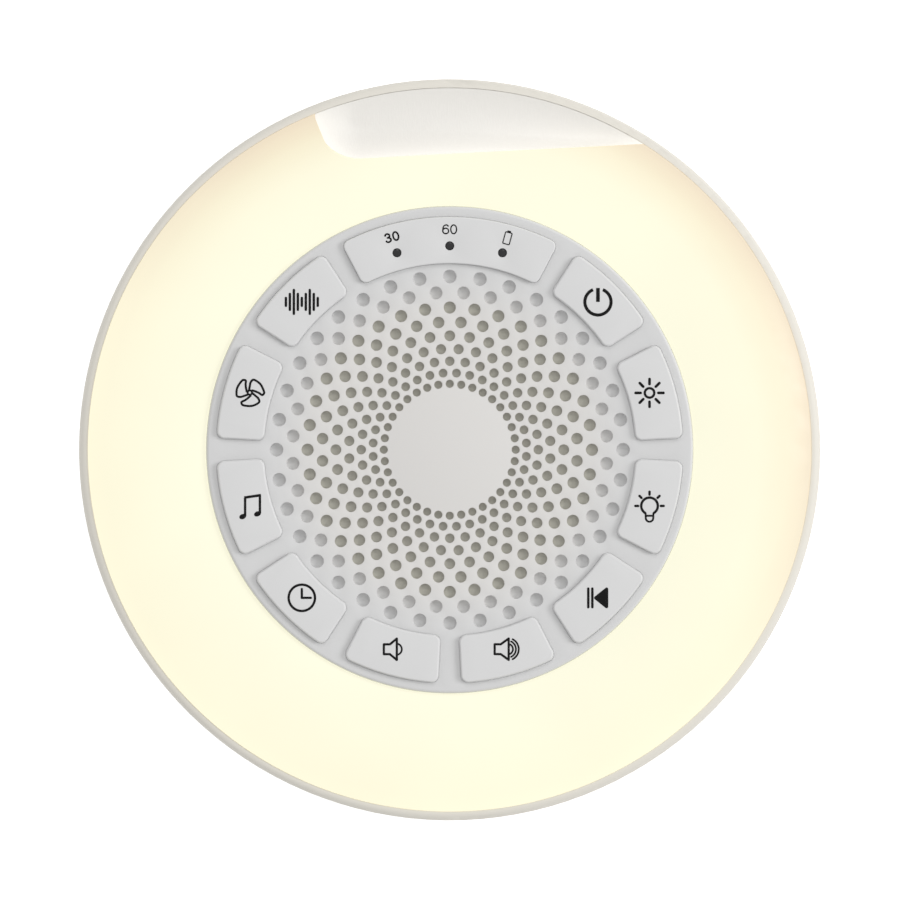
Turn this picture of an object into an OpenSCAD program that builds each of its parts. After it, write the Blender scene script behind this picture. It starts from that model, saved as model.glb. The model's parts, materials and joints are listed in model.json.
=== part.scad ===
// White noise sound machine: a round table-top unit with a glowing ring, a central
// speaker grille and ten keys on a light grey control panel.
// Millimetres, +Z up, origin on the table under the centre of the body. +Y is the rear.

/* [Housing] */
// Outer diameter of the housing
body_d = 110; // [104:1:126]
// Height of the housing rim above the table
rim_z = 35; // [33:0.5:44]
// Thickness of the housing's side and floor
wall = 2.4; // [2:0.1:3]
// Outer radius of the curve between floor and side
base_curve = 9; // [8:0.5:11]
// Radius on the outer edge of the rim
rim_round = 1.2; // [0.8:0.1:1.3]
// Width of the rim above the seat of the glowing ring
rim_w = 1.3; // [1.2:0.1:1.7]
// Depth of the seat below the rim
seat_depth = 3.5; // [3:0.1:4.5]

/* [Feet and housing screws] */
// Radius of the circle that the posts and feet stand on
post_ring_r = 42; // [41.5:0.5:43]
// Diameter of the posts
post_d = 8; // [7.5:0.1:9]
// Height of the posts above the floor
post_h = 9.6; // [8:0.2:12]
// Diameter of the rubber feet
foot_d = 12; // [10.5:0.5:14]
// How far the feet stand out under the housing
foot_proud = 1; // [0.6:0.1:1.5]
// How deep the feet sit in the housing
foot_sunk = 1; // [0.6:0.1:1.2]
// Shank diameter of the housing screws
screw_d = 2.5; // [2:0.1:3]
// Head diameter of the housing screws
screw_head_d = 5; // [4.5:0.1:5.2]
// Length of the housing screws under the head
screw_len = 11; // [9:0.5:13]

/* [Glowing ring] */
// Wall thickness of the glowing ring
glow_t = 1.6; // [1.2:0.1:2]
// Height of the ring's crest above the rim
crest_rise = 3.6; // [2.8:0.1:4.4]
// Radius at which the crest lies
crest_r = 42; // [40:0.5:44]
// Height of the ring's outer edge above the rim
edge_rise = 0.3; // [0.1:0.1:0.6]
// Bevel on the ring's outer edge
edge_bevel = 0.5; // [0.3:0.1:0.7]

/* [Grip] */
// Angle from the rear to the centre of the grip's round end
grip_end_angle = 15.1; // [12:0.1:20]
// Radius of the grip's round end
grip_end_r = 6.6; // [5:0.1:8]
// Distance from the seat wall to the centre of the round end
grip_inset = 2.2; // [1.5:0.1:3]
// Tilt of the grip's long edge
grip_tilt = 3; // [0:0.5:6]
// How far the dished top lies below the ring's crest at mid width
grip_dish = 2.4; // [1.5:0.1:3]
// Wall thickness of the grip
grip_t = 1.6; // [1.2:0.1:2]

/* [Control panel] */
// Diameter of the control panel
panel_d = 72.1; // [72:0.1:73]
// Thickness of the panel's face
panel_t = 2; // [1.6:0.1:2.6]
// Height of the panel's face above the rim
panel_rise = 3.6; // [3.2:0.1:4.6]
// Radius on the panel's outer edge
panel_round = 0.4; // [0.2:0.1:0.6]
// Thickness of the panel's skirt
panel_skirt_t = 0.95; // [0.8:0.05:1]
// Radius of the circle of bosses under the panel
boss_ring_r = 24.3; // [24.1:0.1:24.4]
// Diameter of those bosses
boss_d = 4.4; // [4.2:0.1:4.6]
// Shank diameter of the panel screws
panel_screw_d = 2; // [1.6:0.1:2.2]
// Length of the panel screws under the head
panel_screw_len = 6.5; // [5:0.5:7.5]

/* [Grille] */
// Rings of holes that go through
open_rings = 7; // [5:1:7]
// Rings of blind dimples around them
blind_rings = 2; // [0:1:2]
// Holes in each ring
ring_holes = 36; // [24:1:36]
// Radius of the first ring
grille_r = 9.77; // [9.6:0.1:10]
// Step from the first ring to the second
grille_step = 1.62; // [1.56:0.01:1.64]
// How much each step grows over the last
grille_growth = 0.105; // [0.1:0.001:0.107]
// Hole diameter in the first ring
hole_d = 1.2; // [0.9:0.05:1.25]
// How much the hole diameter grows with each ring
hole_growth = 0.1; // [0.06:0.01:0.1]
// Depth of the blind dimples
dimple_depth = 0.9; // [0.6:0.1:1.2]
// Thickness of the panel's face at the open rings
grille_t = 0.9; // [0.7:0.1:1.4]

/* [Keys] */
// Inner radius of the keys
key_in_r = 27.6; // [27.4:0.1:28.2]
// Outer radius of the keys
key_out_r = 34.5; // [33.5:0.1:34.6]
// Half of the angle that a key covers
key_half_angle = 12; // [10:0.25:12.5]
// Angle from one key to the next
key_pitch = 30; // [29:0.5:30]
// Half of the angle that the indicator bar covers
bar_half_angle = 27.7; // [25:0.1:28]
// Corner radius of the keys
key_corner = 1; // [0.4:0.1:1.2]
// How far the keys stand above the panel
key_proud = 0.8; // [0.7:0.1:1.2]
// Travel of the keys
key_travel = 0.6; // [0.4:0.05:0.65]
// Gap around each key
key_gap = 0.15; // [0.1:0.01:0.2]
// Width of the lip that holds a key under the panel
lip_w = 0.45; // [0.3:0.05:0.45]
// Thickness of that lip
lip_t = 1; // [0.8:0.1:1.2]
// Diameter of the stem under a key
stem_d = 3; // [2.6:0.1:4]
// Length of that stem
stem_len = 1.5; // [1:0.1:2]

/* [Switches and circuit boards] */
// Side of a switch body
switch_w = 4.5; // [4:0.1:5.2]
// Height of a switch body
switch_h = 2.6; // [2:0.1:3]
// Diameter of a switch plunger
plunger_d = 2.2; // [1.8:0.1:2.4]
// How far a plunger stands out of its switch
plunger_out = 1.2; // [1:0.1:1.6]
// Thickness of the circuit boards
board_t = 1.2; // [0.8:0.1:1.6]
// Width of the main board
board_w = 44; // [40:1:46]
// Length of the main board without its tongue
board_l = 28; // [26:1:30]
// Width of the tongue that carries the socket
tongue_w = 16; // [12:0.5:20]
// Height of the main board's standoffs
standoff_h = 6; // [5:0.2:7]
// Diameter of the indicator lenses
lens_d = 1.35; // [1.1:0.05:1.6]
// Radius at which the indicator lenses lie
lens_r = 30.2; // [29.5:0.1:31.5]
// Angle between two indicator lenses
lens_pitch = 15; // [10:0.5:18]
// Number of lamps under the glowing ring
lamp_count = 24; // [12:1:36]

/* [Speaker] */
// Diameter of the loudspeaker
speaker_d = 40; // [38:0.5:40]
// Diameter of the loudspeaker's magnet
magnet_d = 26; // [22:0.5:28]
// Thickness of the gasket in front of the loudspeaker
gasket_t = 1.2; // [0.8:0.1:1.6]
// Thickness of the cloth behind the grille
cloth_t = 0.4; // [0.3:0.05:0.6]

/* [Battery] */
// Width of the battery
battery_w = 46; // [40:1:46]
// Length of the battery
battery_l = 30; // [24:1:32]
// Thickness of the battery
battery_h = 9; // [6:0.5:9]
// Thickness of the adhesive tape under it
tape_t = 0.8; // [0.5:0.1:1.2]

/* [Hidden] */
$fn = 96;

// Small clearances and overlaps
seam = 0.15;            // gap between two covers
touch = 0.05;           // radial play of a screw or lens in its hole
lip_play = 0.1;         // gap between the panel and the lip of a key at rest
board_gap = 0.3;        // gap round a circuit board
lamp_h = 0.6;           // height of an indicator lamp
over = 1;               // how far a cut runs past the face that it opens

// Heights, from the table up
tray_depth = 5;
floor_z = foot_proud + wall;
seat_z = rim_z - seat_depth;
panel_z = rim_z + panel_rise;
panel_under_z = panel_z - panel_t;
key_top_z = panel_z + key_proud;
lip_top_z = panel_under_z - lip_play;
stem_bottom_z = lip_top_z - lip_t - stem_len;
key_board_z = stem_bottom_z - plunger_out - switch_h - board_t;
deck_z = key_board_z;
deck_t = 2;
tray_z = deck_z - tray_depth;
frame_under_z = tray_z - deck_t;
grille_under_z = panel_z - grille_t;
speaker_z = grille_under_z - cloth_t - gasket_t;
post_top_z = floor_z + post_h;
main_board_z = floor_z + standoff_h;
main_board_t = 1.6;

// Radii, from the rim inwards
body_r = body_d / 2;
seat_r = body_r - rim_w;
inner_r = body_r - wall;
glow_r = seat_r - seam;
panel_r = panel_d / 2;
glow_in_r = panel_r + seam;
skirt_in_r = panel_r - panel_skirt_t;
crest_z = rim_z + crest_rise;
dome_drop = crest_rise - edge_rise;
dome_r = (pow(glow_r - crest_r, 2) + dome_drop * dome_drop) / (2 * dome_drop);
dome_z = crest_z - dome_r;
bevel_r = glow_r - edge_bevel;
bevel_z = dome_z + sqrt(dome_r * dome_r - pow(bevel_r - crest_r, 2));
bevel_low_z = rim_z + edge_rise - edge_bevel;
tray_gap = 0.3;
tray_out_r = glow_r - glow_t - tray_gap;
tray_wall = 1.2;
step_in_r = glow_in_r + glow_t + touch;
step_wall = 1.5;
speaker_r = speaker_d / 2;
tube_in_r = speaker_r + 0.2;
tube_wall = 1.5;
cloth_r = boss_ring_r - boss_d / 2 - 0.1;
key_mid_r = (key_in_r + key_out_r) / 2;

// Colours
white = [0.93, 0.92, 0.89];
panel_grey = [0.84, 0.84, 0.84];
glow = [1, 0.96, 0.84];
board_green = [0.1, 0.35, 0.2];
steel = [0.62, 0.63, 0.65];
dark = [0.12, 0.12, 0.13];

// ---------------------------------------------------------------- helpers

// Places children at equal angles on a circle, from a first angle measured from +X.
module around(count, r, first = 0) {
    for (i = [0 : count - 1])
        rotate(first + i * 360 / count)
            translate([r, 0])
                children();
}

// A flat ring between two radii.
module ring(r_out, r_in, h) {
    linear_extrude(h)
        difference() {
            circle(r_out);
            circle(r_in);
        }
}

// Points along an arc, without its last one.
function arc(centre, r, from, to, n) = [
    for (i = [0 : n - 1])
        let (a = from + (to - from) * i / n)
            centre + r * [cos(a), sin(a)]
];

// Right half of a ring sector centred on +Y with round corners, grown on all sides:
// inner arc, inner corner, outer corner, outer arc.
function half_sector(r_in, r_out, half_angle, corner, grow) =
    let (
        side = 90 - half_angle,
        inset = corner - grow,
        low = r_in + inset,
        high = r_out - inset,
        low_a = side + asin(inset / low),
        high_a = side + asin(inset / high),
        steps = ceil(half_angle / 2)
    )
    concat(
        arc([0, 0], r_in - grow, 90, low_a, steps),
        arc(low * [cos(low_a), sin(low_a)], corner, low_a + 180, side + 270, 6),
        arc(high * [cos(high_a), sin(high_a)], corner, side - 90, high_a, 6),
        arc([0, 0], r_out + grow, high_a, 90, steps),
        [[0, r_out + grow]]
    );
module rounded_sector(r_in, r_out, half_angle, corner, grow = 0) {
    half = half_sector(r_in, r_out, half_angle, corner, grow);
    polygon(concat(half, [for (i = [len(half) - 2 : -1 : 1]) [-half[i][0], half[i][1]]]));
}

// The grip's outline from above: a long tilted edge with one round end.
module grip_outline(grow) {
    centre_r = seat_r - grip_inset;
    end_r = grip_end_r + grow;
    rotate(grip_end_angle)
        translate([0, centre_r])
            rotate(grip_tilt - grip_end_angle) {
                circle(end_r);
                translate([0, -end_r])
                    square([body_d, body_d]);
                translate([-end_r, 0])
                    square([body_d, body_d]);
            }
}

// A round cable swept along points. Each ring stands square to the mean direction at its point.
function unit(v) = v / norm(v);
function heading(p, i) = unit(p[min(i + 1, len(p) - 1)] - p[max(i - 1, 0)]);
function side_axis(t) = unit(cross(t, abs(t[0]) < 0.8 ? [1, 0, 0] : [0, 1, 0]));
function cable_points(p, r, n) = [
    for (i = [0 : len(p) - 1], k = [0 : n - 1])
        let (t = heading(p, i), u = side_axis(t), v = cross(t, u), a = 360 * k / n)
            p[i] + r * (u * cos(a) + v * sin(a))
];
function cable_faces(rings, n) = concat(
    [[for (k = [0 : n - 1]) k]],
    [[for (k = [0 : n - 1]) (rings - 1) * n + n - 1 - k]],
    [for (i = [0 : rings - 2], k = [0 : n - 1])
        let (m = (k + 1) % n)
            [i * n + k, (i + 1) * n + k, (i + 1) * n + m]],
    [for (i = [0 : rings - 2], k = [0 : n - 1])
        let (m = (k + 1) % n)
            [i * n + k, (i + 1) * n + m, i * n + m]]
);
module cable(path, d, n = 8) {
    polyhedron(cable_points(path, d / 2, n), cable_faces(len(path), n), convexity = 4);
}

// Points of a smooth curve that leaves a along da and reaches b against db.
function bow(a, da, b, db, steps = 10) = [
    for (i = [0 : steps])
        let (s = i / steps, q = 1 - s)
            q * q * q * a + 3 * q * q * s * (a + da) + 3 * q * s * s * (b + db) + s * s * s * b
];
// A wire between two faces, straight and square to each over its first diameter.
module wire(a, da, b, db, steps = 10) {
    cable(concat([a], bow(a + wire_d * unit(da), da, b + wire_d * unit(db), db, steps), [b]), wire_d);
}

// A pan-head screw that points up, with the underside of its head at z = 0.
module screw(d, head_d, head_h, length) {
    cylinder(d = d, h = length);
    translate([0, 0, -head_h])
        difference() {
            cylinder(d = head_d, h = head_h);
            for (turn = [0, 90])
                rotate(turn)
                    translate([-head_d * 0.3, -head_d * 0.07, -over])
                        cube([head_d * 0.6, head_d * 0.14, over + head_h * 0.5]);
        }
}

// ---------------------------------------------------------------- housing

usb_w = 8.94;
usb_h = 3.2;
usb_l = 7.3;
usb_mouth_y = body_r - 3;
usb_z = main_board_z + main_board_t + usb_h / 2;
port_play = 0.35;
pocket_margin = 1.9;
pocket_w = usb_w + 2 * pocket_margin;
pocket_h = usb_h + 2 * pocket_margin;
pocket_depth = 1.3;
post_bore = screw_d + 0.4;
head_bore = screw_head_d + 0.5;
head_h = 2;
post_head_t = 4;
head_seat_z = post_top_z - post_head_t;
standoff_d = 5;
standoff_inset = 3;
standoff_x = board_w / 2 - standoff_inset;
board_front_y = 6;
standoff_y = [board_front_y + standoff_inset, board_front_y + board_l - standoff_inset];
board_screw_d = 2;
board_screw_len = 4;
rib_h = 4;
rib_t = 1.5;
battery_gap = 0.3;
battery_back_y = -4;
battery_y = battery_back_y - battery_l;

module housing_profile(r, curve, low, high) {
    translate([0, low])
        square([r - curve, high - low]);
    translate([0, low + curve])
        square([r, high - low - curve]);
    translate([r - curve, low + curve])
        intersection() {
            circle(curve);
            translate([0, -curve])
                square(curve);
        }
}

module stadium(w, h) {
    translate([-(w - h) / 2, -h / 2])
        square([w - h, h]);
    for (side = [-1, 1])
        translate([side * (w - h) / 2, 0])
            circle(h / 2, $fn = 48);
}

module base_shell() {
    color(white)
        difference() {
            union() {
                rotate_extrude()
                    difference() {
                        housing_profile(body_r, base_curve, foot_proud, rim_z);
                        housing_profile(inner_r, base_curve - wall, floor_z, rim_z + over);
                        translate([0, seat_z])
                            square([seat_r, seat_depth + over]);
                        translate([body_r - rim_round, rim_z - rim_round])
                            difference() {
                                square(rim_round + over);
                                circle(rim_round);
                            }
                    }
                around(4, post_ring_r, 45)
                    translate([0, 0, foot_proud])
                        cylinder(d = post_d, h = post_top_z - foot_proud);
                for (side = [-1, 1], y = standoff_y)
                    translate([side * standoff_x, y, floor_z - wall / 2])
                        cylinder(d = standoff_d, h = standoff_h + wall / 2);
                for (side = [-1, 1])
                    translate([side * (battery_w / 2 + battery_gap) - (side < 0 ? rib_t : 0),
                            battery_y + battery_l * 0.25, floor_z - wall / 2])
                        cube([rib_t, battery_l * 0.5, rib_h + wall / 2]);
            }
            around(4, post_ring_r, 45) {
                cylinder(d = foot_d + 2 * seam, h = foot_proud + foot_sunk);
                cylinder(d = head_bore, h = head_seat_z);
                cylinder(d = post_bore, h = post_top_z + over);
            }
            for (side = [-1, 1], y = standoff_y)
                translate([side * standoff_x, y, main_board_z - board_screw_len])
                    cylinder(d = board_screw_d + 2 * touch, h = board_screw_len + over);
            translate([0, body_r + over, usb_z])
                rotate([90, 0, 0]) {
                    linear_extrude(wall + 3 * over)
                        stadium(usb_w + 2 * port_play, usb_h + 2 * port_play);
                    linear_extrude(over + pocket_depth)
                        stadium(pocket_w, pocket_h);
                }
        }
}

module foot_pads() {
    color("whitesmoke")
        around(4, post_ring_r, 45)
            cylinder(d = foot_d, h = foot_proud + foot_sunk);
}

module housing_screws() {
    color(steel)
        around(4, post_ring_r, 45)
            translate([0, 0, head_seat_z])
                screw(screw_d, screw_head_d, head_h, screw_len);
}

// ---------------------------------------------------------------- inner frame

frame_gap = 0.5;
ledge_w = 1.4;
ledge_t = 1.2;
tube_top_z = panel_under_z - frame_gap;
frame_post_d = post_d - 1;
frame_bore_depth = screw_len - 3;
lamp_board_in_r = step_in_r + step_wall + board_gap;
lamp_board_out_r = tray_out_r - tray_wall - board_gap;
lamp_r = (lamp_board_in_r + lamp_board_out_r) / 2;
lamp_screw_d = 1.8;
lamp_boss_d = 5;
lamp_boss_h = 4;
lead_hole_turn = 168;
lead_hole_d = 5;
ribbon_w = 8;
ribbon_t = 0.4;
ribbon_slot = 1.6;
ribbon_y = key_mid_r - 0.6;

module mid_frame() {
    color(white)
        difference() {
            union() {
                rotate_extrude() {
                    translate([tube_in_r, deck_z - deck_t])
                        square([step_in_r + step_wall - tube_in_r, deck_t]);
                    translate([tube_in_r, deck_z - deck_t])
                        square([tube_wall, tube_top_z - deck_z + deck_t]);
                    translate([speaker_r - ledge_w, speaker_z - flange_t - ledge_t])
                        square([ledge_w + tube_wall, ledge_t]);
                    translate([step_in_r, frame_under_z])
                        square([step_wall, deck_z - frame_under_z]);
                    translate([step_in_r, frame_under_z])
                        square([tray_out_r - step_in_r, deck_t]);
                    translate([tray_out_r - tray_wall, frame_under_z])
                        square([tray_wall, seat_z - frame_gap - frame_under_z]);
                }
                around(4, post_ring_r, 45)
                    translate([0, 0, post_top_z])
                        cylinder(d = frame_post_d, h = tray_z - deck_t / 2 - post_top_z);
                around(4, lamp_r)
                    translate([0, 0, frame_under_z - lamp_boss_h])
                        cylinder(d = lamp_boss_d, h = lamp_boss_h + deck_t);
            }
            around(4, post_ring_r, 45)
                translate([0, 0, post_top_z - over])
                    cylinder(d = screw_d + 2 * touch, h = over + frame_bore_depth);
            around(4, lamp_r)
                translate([0, 0, frame_under_z - over])
                    cylinder(d = lamp_screw_d + 2 * touch, h = deck_t + 2 * over);
            around(4, boss_ring_r, 45)
                translate([0, 0, deck_z - deck_t - over])
                    cylinder(d = panel_screw_d + 0.4, h = deck_t + 2 * over);
            rotate(lead_hole_turn)
                translate([lamp_r, 0, frame_under_z - over])
                    cylinder(d = lead_hole_d, h = deck_t + 2 * over);
            translate([-ribbon_w / 2 - frame_gap, ribbon_y - ribbon_slot / 2, deck_z - deck_t - over])
                cube([ribbon_w + 2 * frame_gap, ribbon_slot, deck_t + 2 * over]);
        }
}

// ---------------------------------------------------------------- glowing ring and grip

// The dome between two radii, above a floor height, with its skin set in by a thickness.
module dome_section(r_in, r_out, low, inset) {
    intersection() {
        translate([r_in, low])
            square([r_out - r_in, crest_z - low]);
        translate([crest_r, dome_z])
            circle(dome_r - inset, $fn = 256);
    }
}

module glow_ring() {
    color(glow)
        difference() {
            rotate_extrude() {
                difference() {
                    dome_section(glow_in_r, glow_r, seat_z, 0);
                    polygon([[glow_r, bevel_low_z], [glow_r + over, bevel_low_z],
                        [glow_r + over, crest_z], [bevel_r, crest_z], [bevel_r, bevel_z]]);
                }
                translate([glow_in_r, deck_z])
                    square([glow_t, seat_z - deck_z + over]);
            }
            difference() {
                rotate_extrude()
                    dome_section(glow_in_r + glow_t, glow_r - glow_t, deck_z - over, glow_t);
                linear_extrude(crest_z + over)
                    grip_outline(glow_t);
            }
            linear_extrude(crest_z + over)
                grip_outline(0);
        }
}

// The dished top of the grip, as a section: a hollow arc through the seam and the long edge.
grip_near_r = seat_r - grip_inset - grip_end_r;
grip_far = [glow_r, rim_z - 0.1];
grip_near = [grip_near_r - 1, crest_z - 0.4];
grip_mid = (grip_far + grip_near) / 2;
grip_run = norm(grip_far - grip_near) / 2;
grip_sag = grip_dish * 0.6;
dish_r = (grip_run * grip_run + grip_sag * grip_sag) / (2 * grip_sag);
grip_slope = unit(grip_near - grip_far);
dish_centre = grip_mid + (dish_r - grip_sag) * [grip_slope[1], -grip_slope[0]];

module grip_section(r_out, low, drop) {
    difference() {
        translate([grip_near_r - 4, low])
            square([r_out - grip_near_r + 4, crest_z - low]);
        translate(dish_centre)
            circle(dish_r + drop, $fn = 256);
    }
}

module grip_insert() {
    color(white)
        difference() {
            intersection() {
                rotate_extrude()
                    grip_section(glow_r, seat_z, 0);
                linear_extrude(crest_z + over)
                    grip_outline(-seam);
            }
            intersection() {
                rotate_extrude()
                    grip_section(glow_r - grip_t, seat_z - over, grip_t);
                linear_extrude(crest_z + over)
                    grip_outline(-seam - grip_t);
            }
        }
}

// ---------------------------------------------------------------- control panel

// Radius and hole diameter of a ring in the grille, counted from 0.
function grille_ring_r(i) = grille_r + i * grille_step + grille_growth * i * (i - 1) / 2;
function grille_hole_d(i) = hole_d + i * hole_growth;

module grille_holes(first, last) {
    for (i = [first : last])
        rotate(i % 2 == 0 ? 0 : 180 / ring_holes)
            around(ring_holes, grille_ring_r(i))
                circle(d = grille_hole_d(i), $fn = 48);
}

// The names of the keys, clockwise from the one right of the indicator bar.
KEYS = ["power", "brightness", "light", "previous", "volume_up",
    "volume_down", "timer", "music", "fan", "noise"];
function key_turn(i) = -(1.5 + i) * key_pitch - (i > 4 ? 360 - 12 * key_pitch : 0);

module at_key(i) {
    rotate(key_turn(i))
        children();
}

module control_panel() {
    color(panel_grey)
        difference() {
            union() {
                rotate_extrude() {
                    difference() {
                        translate([0, panel_under_z])
                            square([panel_r, panel_t]);
                        translate([panel_r - panel_round, panel_z - panel_round])
                            difference() {
                                square(panel_round + over);
                                circle(panel_round);
                            }
                    }
                    translate([skirt_in_r, deck_z])
                        square([panel_skirt_t, panel_under_z - deck_z + panel_t / 2]);
                }
                around(4, boss_ring_r, 45)
                    translate([0, 0, deck_z])
                        cylinder(d = boss_d, h = panel_under_z - deck_z + panel_t / 4);
            }
            translate([0, 0, panel_under_z - over])
                cylinder(r = cloth_r + touch, h = over + panel_t - grille_t);
            translate([0, 0, panel_under_z - over])
                linear_extrude(panel_t + 2 * over)
                    grille_holes(0, open_rings - 1);
            if (blind_rings > 0)
                translate([0, 0, panel_z - dimple_depth])
                    linear_extrude(dimple_depth + over)
                        grille_holes(open_rings, open_rings + blind_rings - 1);
            translate([0, 0, panel_under_z - over])
                linear_extrude(panel_t + 2 * over) {
                    for (i = [0 : len(KEYS) - 1])
                        at_key(i)
                            rounded_sector(key_in_r, key_out_r, key_half_angle, key_corner,
                                key_gap);
                    rounded_sector(key_in_r, key_out_r, bar_half_angle, key_corner, touch);
                }
            around(4, boss_ring_r, 45)
                translate([0, 0, deck_z - over])
                    cylinder(d = panel_screw_d + 2 * touch, h = over + panel_screw_len - deck_t + 1);
        }
}

module panel_screws() {
    color(steel)
        around(4, boss_ring_r, 45)
            translate([0, 0, deck_z - deck_t])
                screw(panel_screw_d, 1.9 * panel_screw_d, 1.5, panel_screw_len);
}

// A cap with a lip that is held under the panel: a key, or the fixed indicator bar.
module cap(half_angle, lip_z) {
    translate([0, 0, lip_z - lip_t])
        linear_extrude(key_top_z - lip_z + lip_t)
            rounded_sector(key_in_r, key_out_r, half_angle, key_corner);
    translate([0, 0, lip_z - lip_t])
        linear_extrude(lip_t)
            rounded_sector(key_in_r, key_out_r, half_angle, key_corner, lip_w);
}

module key(i) {
    color(panel_grey)
        at_key(i) {
            cap(key_half_angle, lip_top_z);
            translate([0, key_mid_r, stem_bottom_z])
                cylinder(d = stem_d, h = stem_len + lip_t);
        }
}

module at_lenses() {
    for (i = [-1 : 1])
        rotate(-i * lens_pitch)
            translate([0, lens_r])
                children();
}

lens_top_z = key_top_z - 0.1;
lens_low_z = key_board_z + board_t + lamp_h + board_gap;
lens_collar_t = 1.2;
lens_collar_w = 0.5;

module indicator_bar() {
    color(panel_grey)
        difference() {
            cap(bar_half_angle, panel_under_z);
            at_lenses()
                translate([0, 0, panel_under_z - lip_t - over])
                    cylinder(d = lens_d + 2 * touch, h = key_top_z - panel_under_z + lip_t + 2 * over,
                        $fn = 48);
        }
}

module indicator_lenses() {
    color(dark)
        at_lenses() {
            translate([0, 0, lens_low_z])
                cylinder(d = lens_d, h = lens_top_z - lens_low_z, $fn = 48);
            translate([0, 0, panel_under_z - lip_t - lens_collar_t])
                cylinder(d = lens_d + 2 * lens_collar_w, h = lens_collar_t, $fn = 48);
        }
}

module grille_cloth() {
    color([0.62, 0.6, 0.55])
        translate([0, 0, grille_under_z - cloth_t])
            cylinder(r = cloth_r, h = cloth_t);
}

// ---------------------------------------------------------------- loudspeaker

flange_w = 2.6;
flange_t = 1;
surround_t = 0.25;
roll_r = 1.2;
roll_mid_r = speaker_r - flange_w - roll_r;
coil_r = 5.2;
cone_low_z = speaker_z - 5.4;
basket_low_z = speaker_z - 8.2;
magnet_r = magnet_d / 2;
top_plate_t = 2;
magnet_t = 4;
yoke_t = 2;

module speaker_gasket() {
    color(dark)
        translate([0, 0, speaker_z + surround_t])
            ring(speaker_r, speaker_r - flange_w + 0.2, gasket_t - surround_t);
}

module speaker_frame() {
    color(dark)
        difference() {
            rotate_extrude()
                polygon([
                    [speaker_r, speaker_z], [speaker_r, speaker_z - flange_t],
                    [speaker_r - 1.7, speaker_z - flange_t],
                    [magnet_r + 0.8, basket_low_z + 0.8], [magnet_r + 0.8, basket_low_z],
                    [coil_r + 2.4, basket_low_z], [coil_r + 2.4, basket_low_z + 0.8],
                    [magnet_r, basket_low_z + 0.8],
                    [speaker_r - flange_w, speaker_z - flange_t], [speaker_r - flange_w, speaker_z]
                ]);
            around(4, 0)
                translate([magnet_r + 0.4, -4, basket_low_z + 2])
                    cube([speaker_r, 8, speaker_z - flange_t - basket_low_z - 3.4]);
        }
}

module speaker_surround() {
    color([0.2, 0.2, 0.21])
        rotate_extrude() {
            translate([roll_mid_r + roll_r - surround_t, speaker_z])
                square([flange_w + surround_t - 0.2, surround_t]);
            translate([roll_mid_r - roll_r - 0.8, speaker_z])
                square([0.8 + surround_t, surround_t]);
            translate([roll_mid_r, speaker_z + surround_t])
                difference() {
                    circle(roll_r);
                    circle(roll_r - surround_t);
                    translate([-2 * roll_r, 0])
                        square([4 * roll_r, 2 * roll_r]);
                }
        }
}

module speaker_cone() {
    rim_in = roll_mid_r - roll_r - 0.1;
    color([0.25, 0.25, 0.26])
        rotate_extrude()
            polygon([
                [rim_in, speaker_z], [rim_in - 0.8, speaker_z],
                [coil_r, cone_low_z], [coil_r, cone_low_z - 0.4], [coil_r + 0.4, cone_low_z - 0.4],
                [rim_in, speaker_z - 0.4]
            ]);
}

module speaker_dust_cap() {
    cap_r = 7.5;
    cap_z = cone_low_z + 0.9;
    color([0.15, 0.15, 0.16])
        rotate_extrude()
            intersection() {
                translate([0, cap_z - sqrt(cap_r * cap_r - coil_r * coil_r)])
                    difference() {
                        circle(cap_r);
                        circle(cap_r - 0.3);
                    }
                translate([0, cap_z])
                    square([coil_r, cap_r]);
            }
}

module speaker_voice_coil() {
    low = basket_low_z - top_plate_t - 0.5;
    color([0.72, 0.45, 0.2])
        translate([0, 0, low])
            ring(coil_r, coil_r - 0.3, cone_low_z + 0.9 - low);
}

module speaker_spider() {
    color([0.75, 0.6, 0.3])
        translate([0, 0, basket_low_z + 0.8])
            ring(magnet_r - 0.4, coil_r, 0.4);
}

module speaker_top_plate() {
    color(steel)
        translate([0, 0, basket_low_z - top_plate_t])
            ring(magnet_r - 1, coil_r + 0.4, top_plate_t);
}

module speaker_magnet() {
    color([0.2, 0.2, 0.22])
        translate([0, 0, basket_low_z - top_plate_t - magnet_t])
            ring(magnet_r, coil_r + 2, magnet_t);
}

module speaker_yoke() {
    low = basket_low_z - top_plate_t - magnet_t - yoke_t;
    color(steel) {
        translate([0, 0, low])
            cylinder(r = magnet_r - 1, h = yoke_t);
        translate([0, 0, low])
            cylinder(r = coil_r - 0.7, h = yoke_t + magnet_t + top_plate_t);
    }
}

tag_w = 7;
tag_l = 4;
tag_t = 0.8;
tag_y = magnet_r - 0.6;
lug_y = tag_y + 2.6;
lug_h = 0.5;
lead_gap = 3.6;

module speaker_terminals() {
    color([0.75, 0.7, 0.5])
        translate([-tag_w / 2, tag_y, basket_low_z - tag_t])
            cube([tag_w, tag_l, tag_t]);
    color([0.85, 0.75, 0.4])
        for (side = [-1, 1])
            translate([side * lead_gap / 2, lug_y, basket_low_z - tag_t - lug_h])
                cylinder(d = 2, h = lug_h, $fn = 48);
}

// ---------------------------------------------------------------- boards and lamps

switch_floor = 0.3;
plunger_play = 0.08;

module key_board() {
    color(board_green)
        translate([0, 0, key_board_z])
            ring(skirt_in_r - board_gap, boss_ring_r + boss_d / 2 + board_gap, board_t);
}

module switch_bodies() {
    color(dark)
        for (i = [0 : len(KEYS) - 1])
            at_key(i)
                translate([0, key_mid_r, key_board_z + board_t])
                    difference() {
                        translate([-switch_w / 2, -switch_w / 2, 0])
                            cube([switch_w, switch_w, switch_h]);
                        translate([0, 0, switch_floor])
                            cylinder(d = plunger_d + 2 * plunger_play, h = switch_h, $fn = 48);
                    }
}

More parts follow.
